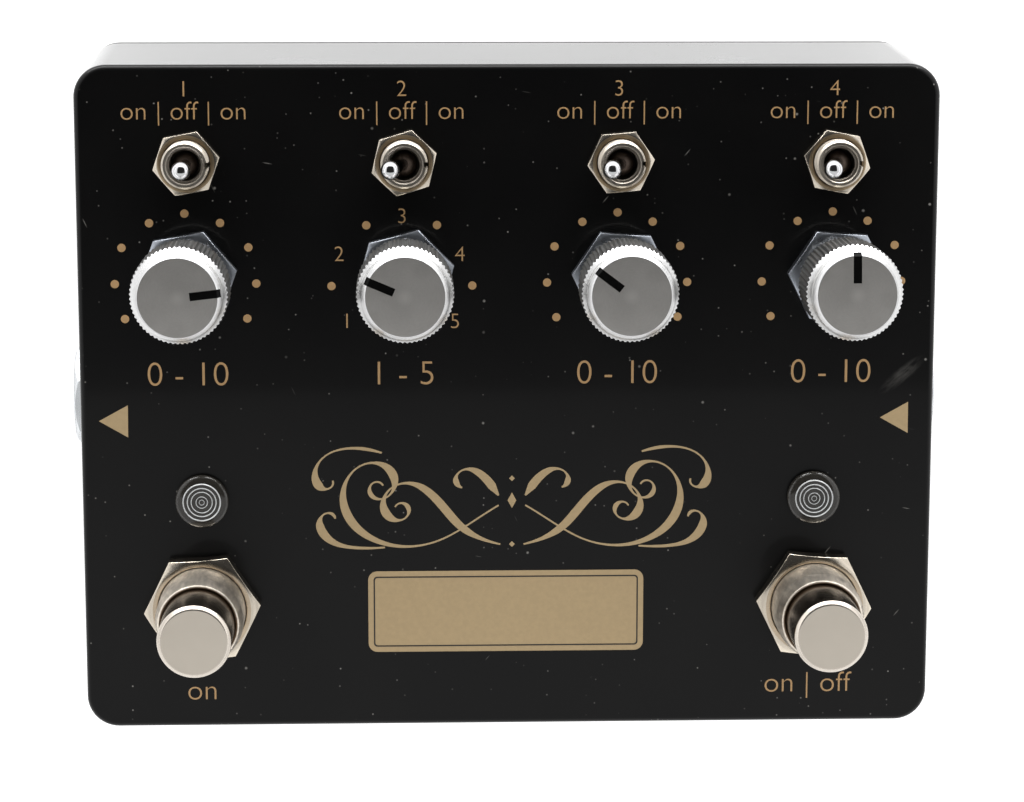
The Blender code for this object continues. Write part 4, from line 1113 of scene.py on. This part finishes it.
def build_lenses():
    """The clear lamp lenses, whose round ridges have pale crests, a painted highlight that shows as bright
    rings.
    """
    bore, bore_top = LED_RADIUS + SEAT_GAP, SEAT_GAP - LED_TOP_DROP
    profile = [
        (0, bore_top),
        (bore, bore_top),
        (bore, -LENS_BARREL_DROP),
        (LENS_BARREL_RADIUS, -LENS_BARREL_DROP),
        (LENS_BARREL_RADIUS, SEAT_GAP),
        (LENS_RADIUS, SEAT_GAP),
        (LENS_RADIUS, LENS_EDGE_RISE),
        (LENS_RADIUS * 0.97, LENS_EDGE_RISE + LENS_EDGE_DOME),
        (LENS_RADIUS * 0.86, LENS_RISE - LENS_RIDGE_HEIGHT * 1.6),
    ]
    floor = LENS_RISE - LENS_RIDGE_HEIGHT
    for radius in LENS_RIDGES:
        half = LENS_CREST_WIDTH / 2 * (LENS_INNER_SHARE + (1 - LENS_INNER_SHARE) * radius / LENS_RIDGES[0])
        slope = half * 2
        profile += [(radius + half + slope, floor), (radius + half, LENS_RISE)]
        profile += [(radius - half, LENS_RISE), (radius - half - slope, floor)]
    profile.append((0, floor))

    # Faces on the ridge crests take the painted highlight.
    def crest(_, height, up):
        return height > floor + LENS_RIDGE_HEIGHT * 0.4

    mesh = finished(turned(profile, FINE_SIDES), "lens_clear", "lens_crest", pick=crest)
    for side in SIDES:
        redo(f"lens_{side}", "ringed", mesh, over(f"lens_{side}", FACE_Z))


# Sockets in the end walls

def socket_body(size, radius, bore, reach, pitch):
    """A socket's block with a threaded bushing and its bore, along Z, with the wall's outside at 0."""
    front = -WALL_THICKNESS - SEAT_GAP
    floor, lip = front - size.z + SOCKET_BACK_WALL, SOCKET_LIP
    thread = (front + SOCKET_THREAD_START, reach - lip - THREAD_END, pitch)
    rim = [(radius, reach - lip), (radius - lip, reach), (0, reach)]
    hollow = [(0, floor), (bore, floor), (bore, reach - lip), (bore + lip * 2, reach + lip), (0, reach + lip)]
    return bushed_block(size, front, front - CUT_OVERRUN, radius, thread, rim, hollow)


def build_sockets():
    """The quarter-inch sockets and the power inlet, with their nuts."""
    reach = SEAT_GAP + JACK_NUT_THICKNESS - JACK_SHORT
    jack = socket_body(JACK_BODY_SIZE, JACK_BUSHING_RADIUS, JACK_BORE_RADIUS, reach, JACK_THREAD_PITCH)
    reach = SEAT_GAP + DC_NUT_THICKNESS
    inlet = socket_body(DC_BODY_SIZE, DC_BUSHING_RADIUS, DC_BORE_RADIUS, reach, DC_THREAD_PITCH)
    foot = -WALL_THICKNESS - SEAT_GAP - DC_BODY_SIZE.z + SOCKET_BACK_WALL / 2
    top = reach - DC_PIN_SHORT
    pin = [(0, foot), (DC_PIN_RADIUS, foot), (DC_PIN_RADIUS, top, DC_PIN_FILLET), (0, top)]
    join(inlet, turned(rounded(pin), SMALL_SIDES))
    jack_nut = nut_body(JACK_NUT_FLATS, JACK_NUT_THICKNESS, JACK_BUSHING_RADIUS)
    inlet_nut = nut_body(DC_NUT_FLATS, DC_NUT_THICKNESS, DC_BUSHING_RADIUS)
    jacks = (finished(jack, "jack_plastic"), finished(jack_nut, "jack_nut_nickel"), JACK_NUT_ANGLE)
    inlets = (finished(inlet, "inlet_plastic"), finished(inlet_nut, "inlet_plastic"), 0)
    rows = (("jack_body_left", *jacks), ("jack_body_right", *jacks), ("dc_jack", *inlets))
    for (body, mesh, hexagon, degrees), (nut, side, _, thickness) in zip(rows, WALL_NUTS):
        place, turn = wall_point(nut, side, thickness), out_of_wall(side)
        redo(body, "bored", mesh, place, turn)
        place = place + wall_normal(side) * SEAT_GAP
        redo(nut, "hexagon", hexagon, place, turn @ spin(degrees), WALL_NUT_EDGE)


INNER_NODES = (
    ("pot_body", "pot_can", COLUMNS),
    ("pot_shaft", "shaft_metal", COLUMNS),
    ("led", "led_resin", SIDES),
)


def dress_inner_nodes():
    """Gives the CAD nodes that stay their own materials."""
    slots = {"main_board": "board_laminate", "dsp_chip": "chip_resin", "capacitor": "capacitor_sleeve"}
    for name, slot, numbers in INNER_NODES:
        slots.update({f"{name}_{number}": slot for number in numbers})
    for name, slot in slots.items():
        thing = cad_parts[name]
        thing.data.materials.clear()
        thing.data.materials.append(MATERIALS[slot])


# Printing on the face

PRINT_LOW = FACE_Z + 0.00001
PRINT_HIGH = FACE_Z + 0.00004
DOT_RADIUS = 0.00057
DOT_SIDES = 24
RING_RADIUS = 0.0096
RING_RADIUS_WIDE = 0.00992
RING_CENTRES = ((-0.04401, 0.01633), (-0.01459, 0.01594), (0.01483, 0.01631), (0.04427, 0.01633))
FULL_RING = tuple(range(-120, 121, 30))
SPARSE_RING = (-90, -30, 30, 90)
NUMBER_RING = (
    ("1", -0.02212, 0.01112),
    ("2", -0.02312, 0.02034),
    ("3", -0.01453, 0.02551),
    ("4", -0.00665, 0.02028),
    ("5", -0.00736, 0.01105),
)
TRIANGLES = (
    ((-0.05619, -0.0026), (-0.05219, -0.00041), (-0.05224, -0.0049)),
    ((0.05135, -0.00269), (0.05522, -0.00052), (0.05525, -0.0049)),
)
PLATE_LOW = (-0.0195, -0.0355)
PLATE_HIGH = (0.01875, -0.024)
PLATE_CORNER = 0.00125
PLATE_LEAST_CORNER = 0.0004
KEYLINE_INSET = 0.00075
KEYLINE_WIDTH = 0.00018
KEYLINE_LOW = PRINT_HIGH + 0.000005
KEYLINE_HIGH = PRINT_HIGH + 0.00002
LETTER_THINNING = 0.014
NUMBER_SIZE = 0.003
NUMBER_DROP = 0.001
THREE_WAY = "on | off | on"
# Labels: the line they stand on, their type size, and their words with the middle of each
LABELS = (
    (0.04175, 0.0031, (("1", -0.04385), ("2", -0.0145), ("3", 0.01495), ("4", 0.0443))),
    (0.03865, 0.0036, ((THREE_WAY, -0.0439), (THREE_WAY, -0.0145), (THREE_WAY, 0.015), (THREE_WAY, 0.044))),
    (0.00225, 0.0048, (("0 - 10", -0.0439), ("1 - 5", -0.0145), ("0 - 10", 0.0149), ("0 - 10", 0.0444))),
    (-0.04215, 0.0042, (("on", -0.04265),)),
    (-0.04175, 0.0042, (("on | off", 0.04185),)),
)
SCROLL_MIDDLE = Vector((0.00045, -0.01405))
SCROLL_SCALE = 1.15
SCROLL_THIN = 0.2
SCROLL_THICK = 1.05
SCROLL_PEN_ANGLE = 60.0
SCROLL_STEP = 0.16
SCROLL_PEN_SHARPNESS = 3
SCROLL_LAYER = 0.000003

# Each stroke's start, heading in degrees, and parts: length, and bend at the part's two ends
SCROLL_STROKES = (
    ((1.4, -5.4), 12, ((6.0, 0.06, 0.14), (6.0, 0.08, -0.16), (8.0, -0.24, -0.5), (5.5, -0.5, -1.3))),
    ((1.6, -0.6), -30, (
        (7.0, -0.04, 0.05), (10.0, 0.08, 0.12), (9.0, 0.13, 0.24), (9.0, 0.24, 0.5), (5.5, 0.5, 1.3)
    )),
    ((15.6, 5.9), 18, ((5.0, -0.06, -0.14), (5.5, -0.16, -0.45), (3.2, -0.45, -1.5))),
    ((1.6, 0.6), 55, ((4.4, 0.05, -0.3), (4.2, -0.45, -1.1))),
    ((15.3, -5.7), -4, ((4.5, 0.02, 0.08), (4.4, 0.14, 0.38), (3.4, 0.5, 1.4))),
)

# Diamonds of the ornament: height above its middle, half width and half height
DIAMONDS = ((0.0, 0.0006, 0.0011), (-0.0062, 0.0004, 0.0004), (0.0031, 0.0004, 0.0004))


def prism(bm, outline, high=PRINT_HIGH):
    """Adds a thin plate with the outline to the bmesh."""
    skin(bm, [[(x, y, z) for x, y in outline] for z in (PRINT_LOW, high)])


def letters(bm, words, x, y, size):
    """Adds plain words or numbers of a type size to the bmesh, centred on x and standing on the line y."""
    curve = bpy.data.curves.new("letters", "FONT")
    assign(curve, body=words, size=size, offset=-LETTER_THINNING * size)
    assign(curve, align_x="CENTER", extrude=(PRINT_HIGH - PRINT_LOW) / 2)
    holder = new_object("letters", curve)
    graph = bpy.context.evaluated_depsgraph_get()
    mesh = bpy.data.meshes.new_from_object(holder.evaluated_get(graph))
    bpy.data.objects.remove(holder)
    mesh.transform(Matrix.Translation((x, y, (PRINT_LOW + PRINT_HIGH) / 2)))
    bm.from_mesh(mesh)
    bpy.data.meshes.remove(mesh)



def build_print():
    """The tan printing: arrows, plate and ornament in full ink, dots, numbers and labels in thinner ink."""
    bm = bmesh.new()
    for corners in TRIANGLES:
        prism(bm, corners)
    prism(bm, plate_outline(0))
    build_ornament(bm)
    put("face_print", finished(from_bmesh(bm), "print_full"))
    bm = bmesh.new()
    for number, (x, y) in enumerate(RING_CENTRES):
        for degrees in SPARSE_RING if number == 1 else FULL_RING:
            dy, dx = polar(RING_RADIUS_WIDE if abs(degrees) == 60 else RING_RADIUS, math.radians(degrees))
            prism(bm, [(x + dx + i, y + dy + j) for i, j, _ in circle(DOT_RADIUS, 0, DOT_SIDES)])
    for words, x, y in NUMBER_RING:
        letters(bm, words, x, y - NUMBER_DROP, NUMBER_SIZE)
    for y, size, row in LABELS:
        for words, x in row:
            letters(bm, words, x, y, size)
    put("face_labels", finished(from_bmesh(bm), "print_thin"))


def plate_outline(inset):
    """The tan plate's outline, drawn in by an inset."""
    (left, front), (right, back) = PLATE_LOW, PLATE_HIGH
    x, y = (right + left) / 2, (back + front) / 2
    radius = max(PLATE_CORNER - inset, PLATE_LEAST_CORNER)
    sizes = ((right - left) / 2 - inset, (back - front) / 2 - inset, radius)
    return [(x + dx, y + dy) for dx, dy, _ in rounded_outline(*sizes, 0, 6)]


def build_keyline():
    """The thin black line inside the tan plate's edge."""
    outer, inner = plate_outline(KEYLINE_INSET), plate_outline(KEYLINE_INSET + KEYLINE_WIDTH)
    edges = ((outer, KEYLINE_LOW), (outer, KEYLINE_HIGH), (inner, KEYLINE_HIGH), (inner, KEYLINE_LOW))
    body = lofted([[(x, y, z) for x, y in line] for line, z in edges], closed=True)
    put("plate_keyline", finished(body, "print_black"))


def stroke_line(start, heading, parts):
    """Points and directions along a stroke whose bend changes evenly within each of its parts."""
    x, y = start
    angle = math.radians(heading)
    line = [(x, y, angle)]
    for length, first, last in parts:
        count = round(length / SCROLL_STEP)
        for i in range(count):
            angle += (first + (last - first) * (i + 0.5) / count) * length / count
            x += math.cos(angle) * length / count
            y += math.sin(angle) * length / count
            line.append((x, y, angle))
    return line


def stroke_outline(line):
    """The outline of a pen stroke along a line, widest where it follows the pen's angle."""
    left, right = [], []
    last = len(line) - 1
    for i, (x, y, angle) in enumerate(line):
        along = abs(math.cos(angle - math.radians(SCROLL_PEN_ANGLE))) ** SCROLL_PEN_SHARPNESS
        taper = min(1.0, 6 * min(i, last - i) / last)
        half = (SCROLL_THIN + (SCROLL_THICK - SCROLL_THIN) * along * taper) / 2
        dy, dx = polar(half, angle)
        left.append((x - dx, y + dy))
        right.append((x + dx, y - dy))
    return left + right[::-1]


def build_ornament(bm):
    """Adds a plain scroll, the same on both sides, with diamonds in its middle."""
    middle_x, middle_y = SCROLL_MIDDLE
    scale = SCROLL_SCALE / 1000
    for number, stroke in enumerate(SCROLL_STROKES):
        outline = stroke_outline(stroke_line(*stroke))
        for side in (-1, 1):
            places = [(middle_x + side * x * scale, middle_y + y * scale) for x, y in outline]
            prism(bm, places, PRINT_HIGH + number * SCROLL_LAYER)
    for rise, half_x, half_y in DIAMONDS:
        x, y = middle_x, middle_y + rise
        prism(bm, [(x + half_x, y), (x, y + half_y), (x - half_x, y), (x, y - half_y)])


# Floor, light and camera

CAMERA_LENS = 107.69
CAMERA_PLACE = (-0.01438, 0.07315, 0.45265)
CAMERA_TILT = (-10.02, -2.017, -0.317)
SENSOR_WIDTH = 36.0
CLIP_START = 0.01
CLIP_END = 20
FLOOR_HALF = 2.5
FLOOR_COLOUR = (0.86, 0.86, 0.86)
FLOOR_GLOW = 0.62
FLOOR_GLOSS_GLOW = 0.63
SKY_STOPS = ((0.0, 1.2), (0.6, 1.2), (0.68, 0.7), (0.74, 0.04), (1.0, 0.03))

# Soft boxes: name, middle, size, brightness and tilt
LAMPS = (
    ("lamp_front", (0.0, -0.325, 0.19), (1.3, 0.6), 0.95, 0),
    ("lamp_back", (0.0, 0.475, 0.19), (1.3, 0.45), 1.3, 0),
    ("lamp_left", (-0.4075, 0.1125, 0.19), (0.485, 0.275), 1.3, 0),
    ("lamp_right", (0.3975, 0.1125, 0.19), (0.505, 0.275), 1.3, 0),
    ("lamp_behind", (0.0, 0.72, 0.105), (1.3, 0.17), 13.0, -90),
)


def build_floor():
    """The plain pale floor, which shows white to the camera and keeps the object's shadow."""
    bm = bmesh.new()
    bm.faces.new([bm.verts.new(corner) for corner in rectangle(FLOOR_HALF, FLOOR_HALF, 0)])
    floor = from_bmesh(bm)
    floor.name = "floor"
    dull = {"Specular_IOR_Level": 0.0, "Emission_Color": (1, 1, 1, 1)}
    material, tree, principled = shader("floor_looks", FLOOR_COLOUR, 0.8, **dull)
    rays = tree.nodes.new("ShaderNodeLightPath").outputs
    seen = maths(tree, rays["Is Camera Ray"], rays["Is Transmission Ray"], "MAXIMUM")
    gloss = maths(tree, rays["Is Glossy Ray"], FLOOR_GLOSS_GLOW)
    glow = maths(tree, maths(tree, seen, FLOOR_GLOW), gloss, "MAXIMUM")
    tree.links.new(glow, principled.inputs["Emission Strength"])
    floor.data.materials.append(material)


def build_sky():
    """A world that is pale near the horizon and dark overhead, where the opening between the boxes is."""
    world = bpy.data.worlds.new("sky")
    bpy.context.scene.world = world
    world.use_nodes = True
    tree = world.node_tree
    height = node(tree, "SeparateXYZ", "Z", {"Vector": node(tree, "TexCoord", "Generated", {})})
    colour = node(tree, "ValToRGB", "Color", {"Fac": span(tree, height, -1.0, 1.0)})
    stops = colour.node.color_ramp.elements
    while len(stops) < len(SKY_STOPS):
        stops.new(0.5)
    for stop, (position, level) in zip(stops, SKY_STOPS):
        assign(stop, position=position, color=(level, level, level, 1))
    tree.links.new(colour, tree.nodes["Background"].inputs["Color"])


def build_lamps():
    """The soft boxes."""
    for name, place, (wide, deep), level, tilt in LAMPS:
        light = bpy.data.lights.new(name, "AREA")
        assign(light, shape="RECTANGLE", size=wide, size_y=deep, energy=math.pi * wide * deep * level)
        lamp = assign(new_object(name, light), location=place, visible_camera=False)
        lamp.rotation_euler.x = math.radians(tilt)


def build_camera():
    """The camera at the photograph's place and angle."""
    data = bpy.data.cameras.new("camera")
    assign(data, lens=CAMERA_LENS, sensor_width=SENSOR_WIDTH, sensor_fit="HORIZONTAL")
    assign(data, clip_start=CLIP_START, clip_end=CLIP_END)
    camera = new_object("camera", data)
    turn = Matrix.Identity(4)
    for degrees, axis in zip(CAMERA_TILT, "XYZ"):
        turn = turn @ Matrix.Rotation(math.radians(degrees), 4, axis)
    camera.matrix_world = Matrix.Translation(CAMERA_PLACE) @ turn
    bpy.context.scene.camera = camera


build_camera()
build_floor()
build_sky()
build_lamps()
build_enclosure()
build_base_plate()
build_screws()
build_feet()
build_nuts()
build_knobs()
build_toggles()
build_footswitches()
build_lenses()
build_sockets()
dress_inner_nodes()
build_print()
build_keyline()
bpy.context.scene.view_settings.view_transform = "Standard"
